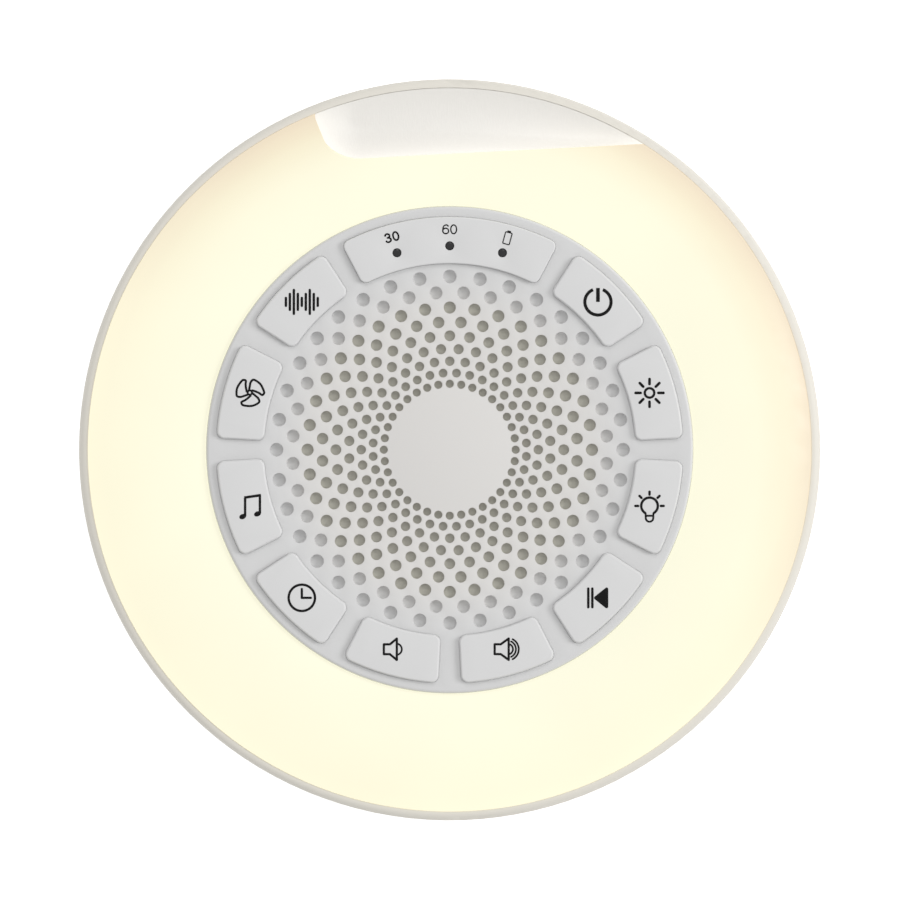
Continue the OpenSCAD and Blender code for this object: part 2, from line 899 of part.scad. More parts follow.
module plunger(i) {
    depth = switch_h - switch_floor - key_travel - lip_play;
    color([0.9, 0.9, 0.9])
        at_key(i)
            translate([0, key_mid_r, stem_bottom_z - plunger_out - depth])
                cylinder(d = plunger_d, h = plunger_out + depth, $fn = 48);
}

module indicator_lamps() {
    color([0.95, 0.95, 0.85])
        at_lenses()
            translate([-0.8, -0.4, key_board_z + board_t])
                cube([1.6, 0.8, lamp_h]);
}

module lamp_board() {
    color([0.92, 0.92, 0.9])
        translate([0, 0, tray_z])
            difference() {
                ring(lamp_board_out_r, lamp_board_in_r, board_t);
                around(4, lamp_r)
                    translate([0, 0, -over])
                        cylinder(d = lamp_screw_d + 0.4, h = board_t + 2 * over);
            }
}

module ring_lamps() {
    color([1, 0.95, 0.6])
        around(lamp_count, lamp_r, 180 / lamp_count)
            translate([-1.4, -1.75, tray_z + board_t])
                cube([2.8, 3.5, 0.8]);
}

module lamp_board_screws() {
    color(steel)
        around(4, lamp_r)
            translate([0, 0, tray_z + board_t])
                rotate([180, 0, 0])
                    screw(lamp_screw_d, lamp_screw_d * 1.7, 1, board_t + deck_t);
}

tongue_y = board_front_y + board_l;

module main_board() {
    color(board_green)
        translate([0, 0, main_board_z])
            difference() {
                linear_extrude(main_board_t) {
                    translate([-board_w / 2, board_front_y])
                        square([board_w, board_l]);
                    translate([-tongue_w / 2, tongue_y - over])
                        square([tongue_w, usb_mouth_y - 1 - tongue_y + over]);
                }
                for (side = [-1, 1], y = standoff_y)
                    translate([side * standoff_x, y, -over])
                        cylinder(d = board_screw_d + 0.4, h = main_board_t + 2 * over);
            }
}

module on_board(x, y) {
    translate([x, y, main_board_z + main_board_t])
        children();
}

module board_chips() {
    color(dark) {
        on_board(-10, 20)
            cube([7, 7, 1.2]);
        on_board(5, 21)
            cube([5, 4, 1.2]);
        on_board(-3.5, 36)
            cube([4, 4, 1]);
    }
    color(steel)
        on_board(13, 14)
            cube([5, 5, 2.5]);
    color([0.75, 0.6, 0.35])
        for (x = [-17, -14, 3.5])
            on_board(x, 36.5 - abs(x) * 0.9)
                cube([1.6, 0.8, 0.8]);
}

plug_y = board_front_y + 1;
lamp_plug = [-14, plug_y];
battery_plug = [12, plug_y];
speaker_plug = [0, magnet_r + 1];
plug_w = 6;
plug_l = 4;
plug_h = 4.5;
ribbon_plug_h = 1.6;

module board_connectors() {
    color("ivory") {
        for (plug = [battery_plug, speaker_plug])
            on_board(plug[0] - plug_w / 2, plug[1])
                cube([plug_w, plug_l, plug_h]);
        on_board(lamp_plug[0] - plug_l / 2, lamp_plug[1])
            cube([plug_l, plug_w, plug_h]);
        on_board(-ribbon_w / 2 - 1, ribbon_y - 1.5)
            cube([ribbon_w + 2, 3, ribbon_plug_h]);
    }
}

module usb_socket() {
    color(steel)
        translate([0, usb_mouth_y, usb_z])
            rotate([90, 0, 0])
                difference() {
                    linear_extrude(usb_l)
                        stadium(usb_w, usb_h);
                    translate([0, 0, -over])
                        linear_extrude(usb_l - 1 + over)
                            difference() {
                                stadium(usb_w - 0.6, usb_h - 0.6);
                                translate([-3.3, -0.35])
                                    square([6.6, 0.7]);
                            }
                }
}

module main_board_screws() {
    color(steel)
        for (side = [-1, 1], y = standoff_y)
            translate([side * standoff_x, y, main_board_z + main_board_t])
                rotate([180, 0, 0])
                    screw(board_screw_d, board_screw_d * 1.9, 1.3, main_board_t + board_screw_len - 0.5);
}

// ---------------------------------------------------------------- battery and wiring

battery_z = floor_z + tape_t;
wire_d = 1.1;

module battery_cell() {
    end_r = 1.5;
    color([0.75, 0.77, 0.8])
        translate([-battery_w / 2, battery_y, battery_z])
            cube([battery_w, battery_l - 2, battery_h]);
    color([0.85, 0.6, 0.15])
        translate([-battery_w / 2 + end_r, battery_y + battery_l - 2, battery_z + 1])
            cube([battery_w - 2 * end_r, 2, battery_h - 2]);
}

module battery_tape() {
    color("gainsboro")
        translate([-battery_w / 2 + 2, battery_y + 2, floor_z])
            cube([battery_w - 4, battery_l - 4, tape_t]);
}

wire_gap = 2;
plug_top_z = main_board_z + main_board_t + plug_h;

module battery_leads() {
    color([0.7, 0.12, 0.1])
        for (side = [-1, 1])
            let (x = battery_plug[0] + side * wire_gap / 2)
                wire([x, battery_y + battery_l, battery_z + battery_h / 2], [0, 4, 0],
                    [x, battery_plug[1], plug_top_z - plug_h / 2], [0, -4, 0], 8);
}

module speaker_leads() {
    color([0.15, 0.15, 0.15])
        for (side = [-1, 1])
            wire([side * lead_gap / 2, lug_y, basket_low_z - tag_t - lug_h], [0, 0, -4],
                [side * wire_gap / 2, speaker_plug[1] + plug_l / 2, plug_top_z], [0, 0, 4], 8);
}

module lamp_leads() {
    start = lamp_r * [cos(lead_hole_turn), sin(lead_hole_turn)];
    color([0.8, 0.8, 0.78])
        for (side = [-1, 1])
            let (offset = side * wire_gap / 2)
                wire([start[0], start[1] + offset, tray_z], [0, 0, -8],
                    [lamp_plug[0], lamp_plug[1] + plug_w / 2 + offset, plug_top_z], [0, 0, 6], 14);
}

module key_ribbon() {
    low = main_board_z + main_board_t + ribbon_plug_h;
    color([0.85, 0.87, 0.9])
        translate([-ribbon_w / 2, ribbon_y - ribbon_t / 2, low])
            cube([ribbon_w, ribbon_t, key_board_z - low]);
}

// ---------------------------------------------------------------- nodes

base_shell();
foot_pads();
housing_screws();
mid_frame();
glow_ring();
grip_insert();
control_panel();
panel_screws();
indicator_bar();
indicator_lenses();
grille_cloth();
speaker_gasket();
speaker_frame();
speaker_surround();
speaker_cone();
speaker_dust_cap();
speaker_voice_coil();
speaker_spider();
speaker_top_plate();
speaker_magnet();
speaker_yoke();
speaker_terminals();
key_board();
switch_bodies();
indicator_lamps();
lamp_board();
ring_lamps();
lamp_board_screws();
main_board();
board_chips();
board_connectors();
usb_socket();
main_board_screws();
battery_cell();
battery_tape();
battery_leads();
speaker_leads();
lamp_leads();
key_ribbon();
for (i = [0 : len(KEYS) - 1]) {
    key(i);
    plunger(i);
}
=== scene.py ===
"""Looks of a white noise sound machine: a round table-top unit with a glowing ring, a
pierced speaker grille and ten keys. Lengths are millimetres until a mesh is made."""

import json
import math

import bmesh
import bpy
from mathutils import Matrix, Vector
from mathutils.geometry import delaunay_2d_cdt


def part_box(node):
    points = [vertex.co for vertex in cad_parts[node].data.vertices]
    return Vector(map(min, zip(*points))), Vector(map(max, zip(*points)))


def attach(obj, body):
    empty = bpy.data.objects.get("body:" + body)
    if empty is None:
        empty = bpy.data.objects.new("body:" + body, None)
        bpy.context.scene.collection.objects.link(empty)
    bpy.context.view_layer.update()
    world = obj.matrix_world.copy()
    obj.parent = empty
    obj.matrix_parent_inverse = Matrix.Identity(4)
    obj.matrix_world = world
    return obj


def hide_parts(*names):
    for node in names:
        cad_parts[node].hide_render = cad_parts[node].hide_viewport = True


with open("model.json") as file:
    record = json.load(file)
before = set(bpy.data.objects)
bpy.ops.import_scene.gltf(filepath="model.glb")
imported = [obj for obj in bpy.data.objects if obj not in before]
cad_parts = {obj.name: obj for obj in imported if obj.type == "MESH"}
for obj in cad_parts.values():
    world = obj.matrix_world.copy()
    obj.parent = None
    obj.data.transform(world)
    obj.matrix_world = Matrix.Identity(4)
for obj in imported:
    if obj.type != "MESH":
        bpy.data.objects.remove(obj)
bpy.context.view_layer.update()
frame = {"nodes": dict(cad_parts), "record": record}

MM = 0.001
HOUSING = "housing"


def box_mm(node):
    """Lowest and highest corner of a CAD node, in millimetres."""
    low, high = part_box(node)
    return low / MM, high / MM


# ------------ sizes

RIM_Z = box_mm("base_shell")[1].z
GLOW_R = box_mm("glow_ring")[1].x
CREST_Z = box_mm("glow_ring")[1].z
PANEL_R = box_mm("control_panel")[1].x
PANEL_Z = box_mm("control_panel")[1].z
DECK_Z = box_mm("control_panel")[0].z
CLOTH_R = box_mm("grille_cloth")[1].x
CLOTH_LOW_Z, GRILLE_UNDER_Z = (corner.z for corner in box_mm("grille_cloth"))
KEY_TOP_Z = box_mm("key_power")[1].z
STEM_LOW_Z = box_mm("key_power")[0].z
LENS_LOW_Z, LENS_TOP_Z = (corner.z for corner in box_mm("indicator_lenses"))
SEAT_Z = box_mm("grip_insert")[0].z

SEAM = 0.15            # gap between two covers
TIGHT = 0.04           # gap left to be seen where two covers meet
PANEL_T = 2.0
CLOTH_PLAY = 0.05      # between the cloth and its recess in the panel
PANEL_UNDER_Z = PANEL_Z - PANEL_T
PANEL_ROUND = 0.45
SKIRT_T = 0.95
BOSS_RING_R = 24.3
BOSS_R = 2.2
BORE_R = 1.05
BORE_DEPTH = 5.5

RING_HOLES = 36
OPEN_RINGS = 7
BLIND_RINGS = 2
GRILLE_R = 9.77
GRILLE_STEP = 1.62
GRILLE_GROWTH = 0.105
HOLE_D = 1.2
HOLE_GROWTH = 0.1
DIMPLE_DEPTH = 1.05
DIMPLE_ROUND = 0.14    # between a dimple's wall and its floor

KEY_IN_R = 27.6
KEY_OUT_R = 34.5
KEY_HALF_ANGLE = 12
KEY_PITCH = 30
BAR_HALF_ANGLE = 27.7
KEY_CORNER = 1.0
KEY_GAP = 0.15
KEY_ROUND = 0.22
BAR_GAP = KEY_GAP / 3
FOOT_START = 0.02      # below the panel's face, where a cap widens to fill its opening
FOOT_FULL = 0.05       # and where it has widened
LIP_W = 0.45
LIP_T = 1.0
LIP_PLAY = 0.1
STEM_R = 1.5
EDGE = 0.05            # rounding where a hole breaks the panel's face
HOLE_STEPS = 32        # points round a small hole
INK_T = 0.02
INK_SPREAD = 0.07      # how far a printed line runs over its drawn width

LENS_R = 0.65
LENS_PLAY = 0.02
LENS_RING_R = 30.2
LENS_PITCH = 15
LENS_COLLAR = 0.5
LENS_COLLAR_T = 1.2

GLOW_T = 1.6
CREST_R = 42.0
EDGE_RISE = 0.3
GLOW_IN_R = PANEL_R + SEAM
DOME_DROP = CREST_Z - RIM_Z - EDGE_RISE
DOME_R = ((GLOW_R - CREST_R) ** 2 + DOME_DROP ** 2) / (2 * DOME_DROP)

GRIP_END_ANGLE = 15.1
GRIP_END_R = 6.6
GRIP_INSET = 2.2
GRIP_TILT = 3.0
GRIP_SAG = 1.44
GRIP_GLOW = 0.215      # brightness of the painted glow that stands in for the ring's light at the grip's inner edge
GRIP_GLOW_REACH = 2.2

GASKET_W = 2.4
FOOT_R = 6.0

KEYS = ["power", "brightness", "light", "previous", "volume_up",
        "volume_down", "timer", "music", "fan", "noise"]


def key_turn(index):
    """Angle of a key from the rear, anticlockwise, in degrees. Two places at the rear are the bar's."""
    return -(1.5 + index) * KEY_PITCH


# ------------ outlines

def turned(points, degrees):
    """Points turned about the origin."""
    c, s = math.cos(math.radians(degrees)), math.sin(math.radians(degrees))
    return [(x * c - y * s, x * s + y * c) for x, y in points]


def moved(points, dx, dy):
    """Points shifted."""
    return [(x + dx, y + dy) for x, y in points]


def polar(r, a):
    """The point at a distance and an angle, in radians, from the origin."""
    return r * math.cos(a), r * math.sin(a)


def ahead(point, direction, distance):
    """The point at a distance from another in a direction."""
    return point[0] + distance * direction[0], point[1] + distance * direction[1]


def arc(radius, start, end, steps, centre=(0, 0), squash=1):
    """Points of an arc from one angle to another, both included, in degrees."""
    angles = [math.radians(start + (end - start) * i / steps) for i in range(steps + 1)]
    return [(centre[0] + radius * math.cos(a), centre[1] + radius * squash * math.sin(a)) for a in angles]


def circle(radius, steps, centre=(0, 0), squash=1):
    return arc(radius, 0, 360, steps, centre, squash)[:-1]


def sector(r_in, r_out, half_angle, corner, inset=0):
    """Outline of a ring sector centred on +Y with round corners, drawn in by an inset."""
    side = 90 - half_angle
    low, high = r_in + corner, r_out - corner
    low_a = side + math.degrees(math.asin(corner / low))
    high_a = side + math.degrees(math.asin(corner / high))
    steps = 2 * math.ceil(half_angle)
    round_r = corner - inset
    right = (arc(r_in + inset, 90, low_a, steps)
             + arc(round_r, low_a + 180, side + 270, 8, polar(low, math.radians(low_a)))[1:]
             + arc(round_r, side - 90, high_a, 8, polar(high, math.radians(high_a)))
             + arc(r_out - inset, high_a, 90, steps)[1:])
    left = [(-x, y) for x, y in reversed(right[1:-1])]
    return right + left


def to_circle(point, step, radius):
    """How far along a step from a point the circle round the origin is reached."""
    along = point[0] * step[0] + point[1] * step[1]
    rest = point[0] ** 2 + point[1] ** 2 - radius ** 2
    return -along + math.sqrt(along ** 2 - rest)


def grip_path(grow, radius):
    """The grip's inner edge from its left end to its right end: (point, normal towards the ring)."""
    spacing = 0.35
    centre = turned([(0, GLOW_R + SEAM - GRIP_INSET)], GRIP_END_ANGLE)[0]
    along, up = turned([(1, 0), (0, 1)], GRIP_TILT)
    end_r = GRIP_END_R + grow
    left, low = ahead(centre, along, -end_r), ahead(centre, up, -end_r)
    left_len = to_circle(left, up, radius)
    low_len = to_circle(low, along, radius)
    path = []
    steps = max(1, round(left_len / spacing))
    for i in range(steps):
        t = left_len * (1 - i / steps)
        path.append((ahead(left, up, t), (-along[0], -along[1])))
    steps = round(end_r * math.pi / 2 / spacing)
    for i in range(steps):
        a = math.radians(180 + 90 * i / steps)
        out = (math.cos(a) * along[0] + math.sin(a) * up[0], math.cos(a) * along[1] + math.sin(a) * up[1])
        path.append((ahead(centre, out, end_r), out))
    steps = round(low_len / spacing)
    for i in range(steps + 1):
        t = low_len * i / steps
        path.append((ahead(low, along, t), (-up[0], -up[1])))
    return path


def rounded(radius, steps=4):
    """A rounded edge from its flat top to its side, as (inset, drop) pairs."""
    turns = [math.radians(90 * i / steps) for i in range(steps + 1)]
    return [(radius * (1 - math.sin(a)), radius * (1 - math.cos(a))) for a in turns]


def spline(points, steps):
    """A smooth curve through points."""
    n = len(points)
    curve = []
    for i in range(n - 1):
        p = [points[min(max(i + k, 0), n - 1)] for k in (-1, 0, 1, 2)]
        for s in range(steps):
            t = s / steps
            weights = (-t + 2 * t ** 2 - t ** 3, 2 - 5 * t ** 2 + 3 * t ** 3,
                       t + 4 * t ** 2 - 3 * t ** 3, -t ** 2 + t ** 3)
            curve.append(tuple(sum(w * q[axis] for w, q in zip(weights, p)) / 2 for axis in (0, 1)))
    return curve + [points[-1]]


def unit(x, y):
    length = math.hypot(x, y) or 1
    return x / length, y / length


# ------------ meshes

class Solid:
    """Gathers points in millimetres and faces, and becomes one mesh object."""

    def __init__(self):
        self.points = []
        self.faces = []
        self.flat = set()

    def loop(self, outline, z):
        """Adds an outline at one height, or at a height for each point."""
        heights = z if isinstance(z, list) else [z] * len(outline)
        start = len(self.points)
        self.points += [(x, y, h) for (x, y), h in zip(outline, heights)]
        return list(range(start, len(self.points)))

    def bridge(self, *loops):
        """Joins loops of the same length, each to the next."""
        for a, b in zip(loops, loops[1:]):
            for i in range(len(a)):
                j = (i + 1) % len(a)
                self.faces.append((a[i], a[j], b[j], b[i]))

    def fill(self, outer, holes=(), inner_points=(), height=None):
        """Triangles between an outer loop and the holes in it. Inner points take a height."""
        loops = [outer, *holes]
        index = [i for one in loops for i in one]
        rings, start = [], 0
        for one in loops:
            rings.append(list(range(start, start + len(one))))
            start += len(one)
        first = len(self.points)
        self.points += [(x, y, height(x, y)) for x, y in inner_points]
        index += list(range(first, len(self.points)))
        flat = [Vector(self.points[i][:2]) for i in index]
        _, _, triangles, origin, _, regions = delaunay_2d_cdt(flat, [], rings, 1, 1e-7)
        before = len(self.faces)
        for triangle, region in zip(triangles, regions):
            if region == [0]:
                self.faces.append(tuple(index[origin[v][0]] for v in triangle))
        if height is None:
            self.flat.update(range(before, len(self.faces)))

    def cap(self, loop):
        """Closes a loop with one flat face."""
        self.flat.add(len(self.faces))
        self.faces.append(tuple(loop))

    def tube(self, profile, steps, centre=(0, 0)):
        """Circles of (radius, height), each joined to the next."""
        loops = [self.loop(circle(r, steps, centre), z) for r, z in profile]
        self.bridge(*loops)
        return loops

    def bore(self, r, centre, top_z, low_z):
        """The wall of a round hole with a rounded upper edge. Gives its first and last loop."""
        edge = [(r + inset, top_z - drop) for inset, drop in rounded(EDGE, 3)]
        loops = self.tube(edge + [(r, low_z)], HOLE_STEPS, centre)
        return loops[0], loops[-1]

    def revolve(self, profile, steps, centre=(0, 0)):
        """Turns a profile of (radius, height) about an upright axis. Ends off the axis are joined up."""
        loops = self.tube([(r, z) for r, z in profile if r > 0], steps, centre)
        if profile[0][0] > 0:
            self.bridge(loops[-1], loops[0])
        else:
            self.cap(loops[0])
            self.cap(loops[-1])

    def block(self, low, high, bevel):
        (x0, y0, z0), (x1, y1, z1) = low, high
        outline = [(x0 + bevel, y0), (x1 - bevel, y0), (x1, y0 + bevel), (x1, y1 - bevel),
                   (x1 - bevel, y1), (x0 + bevel, y1), (x0, y1 - bevel), (x0, y0 + bevel)]
        bottom, top = self.loop(outline, z0), self.loop(outline, z1)
        self.bridge(bottom, top)
        self.cap(bottom)
        self.cap(top)

    def piece(self, name, slot, body=HOUSING, material=None, replaces=()):
        """The finished object, riding on a body, in the finish of its slot."""
        mesh = bpy.data.meshes.new(name)
        mesh.from_pydata([tuple(c * MM for c in p) for p in self.points], [], self.faces)
        for polygon in mesh.polygons:
            polygon.use_smooth = polygon.index not in self.flat
        shape = bmesh.new()
        shape.from_mesh(mesh)
        bmesh.ops.recalc_face_normals(shape, faces=shape.faces)
        shape.to_mesh(mesh)
        shape.free()
        mesh.set_sharp_from_angle(angle=math.radians(38))
        mesh.materials.append(material or FINISHES[slot])
        piece = bpy.data.objects.new(name, mesh)
        bpy.context.scene.collection.objects.link(piece)
        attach(piece, body)
        if replaces:
            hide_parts(*replaces)
        return piece


# ------------ materials

class Finish:
    """A procedural material on a principled shader, with a few kinds of texture to build it from."""

    def __init__(self, name, colour, roughness=0.5, metallic=0.0, specular=0.5):
        self.name = name
        self.material = bpy.data.materials.new(name)
        self.material.use_nodes = True
        self.tree = self.material.node_tree
        self.shader = self.tree.nodes["Principled BSDF"]
        self.colour = (*colour, 1)
        self.put("Base Color", self.colour)
        self.put("Roughness", roughness)
        self.put("Metallic", metallic)
        self.put("Specular IOR Level", specular)
        self.coords = self.node("ShaderNodeTexCoord").outputs["Object"]

    def node(self, kind, **settings):
        made = self.tree.nodes.new(kind)
        for key, value in settings.items():
            setattr(made, key, value)
        return made

    def put(self, socket, value):
        self.shader.inputs[socket].default_value = value

    def join(self, value, socket):
        """Links an output, or sets a constant."""
        if isinstance(value, bpy.types.NodeSocket):
            self.tree.links.new(value, socket)
        else:
            socket.default_value = value

    def feed(self, socket, value):
        self.join(value, self.shader.inputs[socket])

    def math(self, operation, a, b=0.0):
        made = self.node("ShaderNodeMath", operation=operation)
        for value, socket in zip((a, b), made.inputs):
            self.join(value, socket)
        return made.outputs[0]

    def remap(self, value, low, high, to_low=0.0, to_high=1.0, smooth=False):
        made = self.node("ShaderNodeMapRange", interpolation_type="SMOOTHSTEP" if smooth else "LINEAR")
        for each, socket in zip((value, low, high, to_low, to_high), made.inputs):
            self.join(each, socket)
        return made.outputs[0]

    def spread(self, texture, low, high):
        """Stretches the range that most of a noise lies in to low and high."""
        return self.remap(texture, 0.3, 0.7, low, high)

    def mix(self, share, a, b):
        made = self.node("ShaderNodeMix", data_type="RGBA")
        self.join(share, made.inputs["Factor"])
        self.join(a, made.inputs[6])
        self.join(b, made.inputs[7])
        return made.outputs[2]

    def noise(self, size, detail=2.0, stretch=(1, 1, 1)):
        """Noise whose features are about this many millimetres across."""
        place = self.node("ShaderNodeMapping")
        place.inputs["Scale"].default_value = stretch
        self.tree.links.new(self.coords, place.inputs["Vector"])
        made = self.node("ShaderNodeTexNoise")
        made.inputs["Scale"].default_value = 1 / (size * MM)
        made.inputs["Detail"].default_value = detail
        self.tree.links.new(place.outputs["Vector"], made.inputs["Vector"])
        return made.outputs["Fac"]

    def cells(self, size):
        """Round pores about this many millimetres apart."""
        made = self.node("ShaderNodeTexVoronoi")
        made.inputs["Scale"].default_value = 1 / (size * MM)
        self.tree.links.new(self.coords, made.inputs["Vector"])
        return made.outputs["Distance"]

    def bands(self, pitch, axis, distortion):
        """Waves across one axis, this many millimetres apart."""
        made = self.node("ShaderNodeTexWave", bands_direction=axis)
        made.inputs["Scale"].default_value = math.pi / 10 / (pitch * MM)
        made.inputs["Distortion"].default_value = distortion
        self.tree.links.new(self.coords, made.inputs["Vector"])
        return made.outputs["Fac"]

    def axis(self, letter):
        """A point's coordinate in metres."""
        if not hasattr(self, "split"):
            self.split = self.node("ShaderNodeSeparateXYZ")
            self.tree.links.new(self.coords, self.split.inputs[0])
        return self.split.outputs[letter]

    def radius(self):
        """Distance from the unit's upright axis, in metres."""
        x, y = self.axis("X"), self.axis("Y")
        return self.math("SQRT", self.math("ADD", self.math("MULTIPLY", x, x), self.math("MULTIPLY", y, y)))

    def tint(self, share, tone):
        """The base colour moved towards darker and lighter by a tone, as a texture says."""
        dark = tuple(c * (1 - tone) for c in self.colour[:3]) + (1,)
        light = tuple(min(1, c * (1 + tone)) for c in self.colour[:3]) + (1,)
        return self.mix(share, dark, light)

    def shade(self, share, tone):
        self.feed("Base Color", self.tint(share, tone))

    def gloss(self, texture, low, high):
        """Lets the roughness wander between two values, as a noise says."""
        self.feed("Roughness", self.spread(texture, low, high))

    def bump(self, height, depth):
        """Raises the surface by up to a depth in millimetres."""
        made = self.node("ShaderNodeBump")
        made.inputs["Distance"].default_value = depth * MM
        self.tree.links.new(height, made.inputs["Height"])
        self.feed("Normal", made.outputs["Normal"])


def plastic(name, colour, roughness=0.45, grain=0.3, depth=0.006, tone=0.015):
    """Moulded plastic: a fine spark-eroded grain, faint flow marks and uneven gloss."""
    finish = Finish(name, colour, roughness, specular=0.4)
    finish.shade(finish.noise(14), tone)
    finish.gloss(finish.noise(3, 3), roughness - 0.05, roughness + 0.05)
    finish.bump(finish.noise(grain, 3), depth)
    return finish


def rubber(name, colour, roughness, pores, depth):
    """Rubber, foam or paper: pores, a dull skin, and colour darker towards the middle of each pore."""
    finish = Finish(name, colour, roughness, specular=0.3)
    holes = finish.cells(pores)
    # darker towards the middle of each pore, where the bump makes the surface lowest
    finish.shade(finish.remap(holes, 0.1, 0.7), 0.12)
    finish.gloss(finish.noise(2, 3), roughness - 0.08, roughness + 0.08)
    finish.bump(holes, depth)
    return finish


def metal(name, colour, roughness, stretch=(1, 14, 1)):
    """Plated or bare metal with drawn scratches and a stain here and there."""
    finish = Finish(name, colour, roughness, metallic=1.0)
    scratch = finish.noise(0.12, 4, stretch)
    finish.shade(finish.noise(4, 4), 0.12)
    finish.gloss(scratch, roughness - 0.1, roughness + 0.12)
    finish.bump(scratch, 0.004)
    return finish


def woven(name, colour, pitch, depth):
    """Plain weave: threads across and along, with an uneven yarn."""
    roughness = 0.9
    finish = Finish(name, colour, roughness, specular=0.2)
    across, along = finish.bands(pitch, "X", 0.6), finish.bands(pitch, "Y", 0.6)
    pores = finish.math("MULTIPLY", across, along)
    yarn = finish.noise(0.8, 3)
    weave = finish.math("MULTIPLY", pores, 0.55)
    finish.shade(finish.math("ADD", weave, finish.math("MULTIPLY", yarn, 0.45)), 0.14)
    finish.gloss(yarn, roughness - 0.08, roughness)
    finish.bump(finish.math("MAXIMUM", across, along), depth)
    return finish


def board(name, colour):
    """Circuit board: solder mask over tracks, glossy, with lighter lands."""
    finish = Finish(name, colour, 0.3)
    tracks = finish.node("ShaderNodeTexBrick", offset=0.37)
    tracks.inputs["Scale"].default_value = 1 / (6 * MM)
    tracks.inputs["Mortar Size"].default_value = 0.05
    finish.tree.links.new(finish.coords, tracks.inputs["Vector"])
    finish.shade(tracks.outputs["Fac"], 0.25)
    finish.gloss(finish.noise(2), 0.24, 0.38)
    finish.bump(tracks.outputs["Fac"], 0.03)
    return finish


RECORD_COLOUR = {m["slot"]: m["base_color"] for m in frame["record"]["materials"]}

PLASTICS = {
    "frame_white": dict(roughness=0.5),
    "basket_black": dict(roughness=0.4, grain=0.6, depth=0.02),
    "switch_black": dict(roughness=0.5),
    "plunger_white": dict(roughness=0.4),
    "chip_black": dict(roughness=0.55, grain=0.15),
    "connector_white": dict(roughness=0.45),
    "lamp_yellow": dict(roughness=0.2, depth=0.002),
}
RUBBERS = {
    "foot_rubber": dict(roughness=0.75, pores=0.2, depth=0.012),
    "surround_rubber": dict(roughness=0.55, pores=0.3, depth=0.006),
    "cone_paper": dict(roughness=0.85, pores=0.6, depth=0.05),
    "gasket_foam": dict(roughness=0.95, pores=0.35, depth=0.08),
    "tape": dict(roughness=0.9, pores=0.4, depth=0.04),
    **{f"wire_{c}": dict(roughness=0.4, pores=0.5, depth=0.004) for c in ("red", "black", "white")},
}
METALS = {
    "screw_steel": dict(roughness=0.32),
    "coil_copper": dict(roughness=0.3, stretch=(1, 1, 30)),
    "pole_steel": dict(roughness=0.35),
    "magnet_ferrite": dict(roughness=0.7, stretch=(1, 1, 1)),
    "terminal_tin": dict(roughness=0.25),
    "cell_foil": dict(roughness=0.3, stretch=(1, 1, 1)),
}
WEAVES = {"spider_cloth": dict(pitch=0.5, depth=0.08)}
BOARDS = {"board_green": {}, "board_white": {}}


def make_finishes():
    """One material for each slot of the record."""
    made = [panel_finish(), lens_finish(), diffuser_finish(), grip_finish(),
            woven("cloth", (0.53, 0.52, 0.46), 0.2, 0.012),
            plastic("white_shell", (0.76, 0.73, 0.66), 0.5, 0.35, 0.008),
            plastic("key_grey", (0.7, 0.7, 0.7), 0.45, 0.3, 0.005, 0.01)]
    kinds = ((plastic, PLASTICS), (rubber, RUBBERS), (metal, METALS), (woven, WEAVES), (board, BOARDS))
    for kind, slots in kinds:
        made += [kind(slot, RECORD_COLOUR[slot], **settings) for slot, settings in slots.items()]
    return {finish.name: finish.material for finish in made}


def panel_finish():
    """The grey plastic of the panel, a touch warmer and lighter over the loudspeaker."""
    finish = plastic("panel_grey", (0.67, 0.67, 0.67), 0.5)
    outward = finish.remap(finish.radius(), 18 * MM, 28 * MM, smooth=True)
    cool = finish.tint(finish.noise(14), 0.01)
    finish.feed("Base Color", finish.mix(outward, (0.715, 0.70, 0.68, 1), cool))
    return finish


def lens_finish():
    """Smoked, polished plastic."""
    finish = Finish("indicator_black", (0.022, 0.022, 0.023), 0.2, specular=0.4)
    finish.gloss(finish.noise(0.6), 0.14, 0.3)
    finish.shade(finish.noise(0.5), 0.2)
    finish.bump(finish.noise(1.2, 1), 0.006)
    return finish


def ink_finish():
    """Printed ink: nearly black, slightly broken up by the grain under it."""
    finish = Finish("ink", (0.012, 0.012, 0.012), 0.5, specular=0.06)
    speck = finish.noise(0.16, 3)
    solid, worn = (0.01, 0.01, 0.01, 1), (0.05, 0.05, 0.05, 1)
    finish.feed("Base Color", finish.mix(finish.remap(speck, 0.62, 0.72), solid, worn))
    finish.gloss(finish.noise(1), 0.42, 0.6)
    finish.bump(speck, 0.004)
    return finish


def ramp(finish, share, shades):
    """Blends a row of (place, colour) pairs."""
    made = finish.node("ShaderNodeValToRGB")
    stops = made.color_ramp
    stops.interpolation = "B_SPLINE"
    for place, shade in shades[1:-1]:
        stops.elements.new(place).color = (*shade, 1)
    for element, (_, shade) in ((stops.elements[0], shades[0]), (stops.elements[-1], shades[-1])):
        element.color = (*shade, 1)
    finish.join(share, made.inputs["Fac"])
    return made.outputs["Color"]


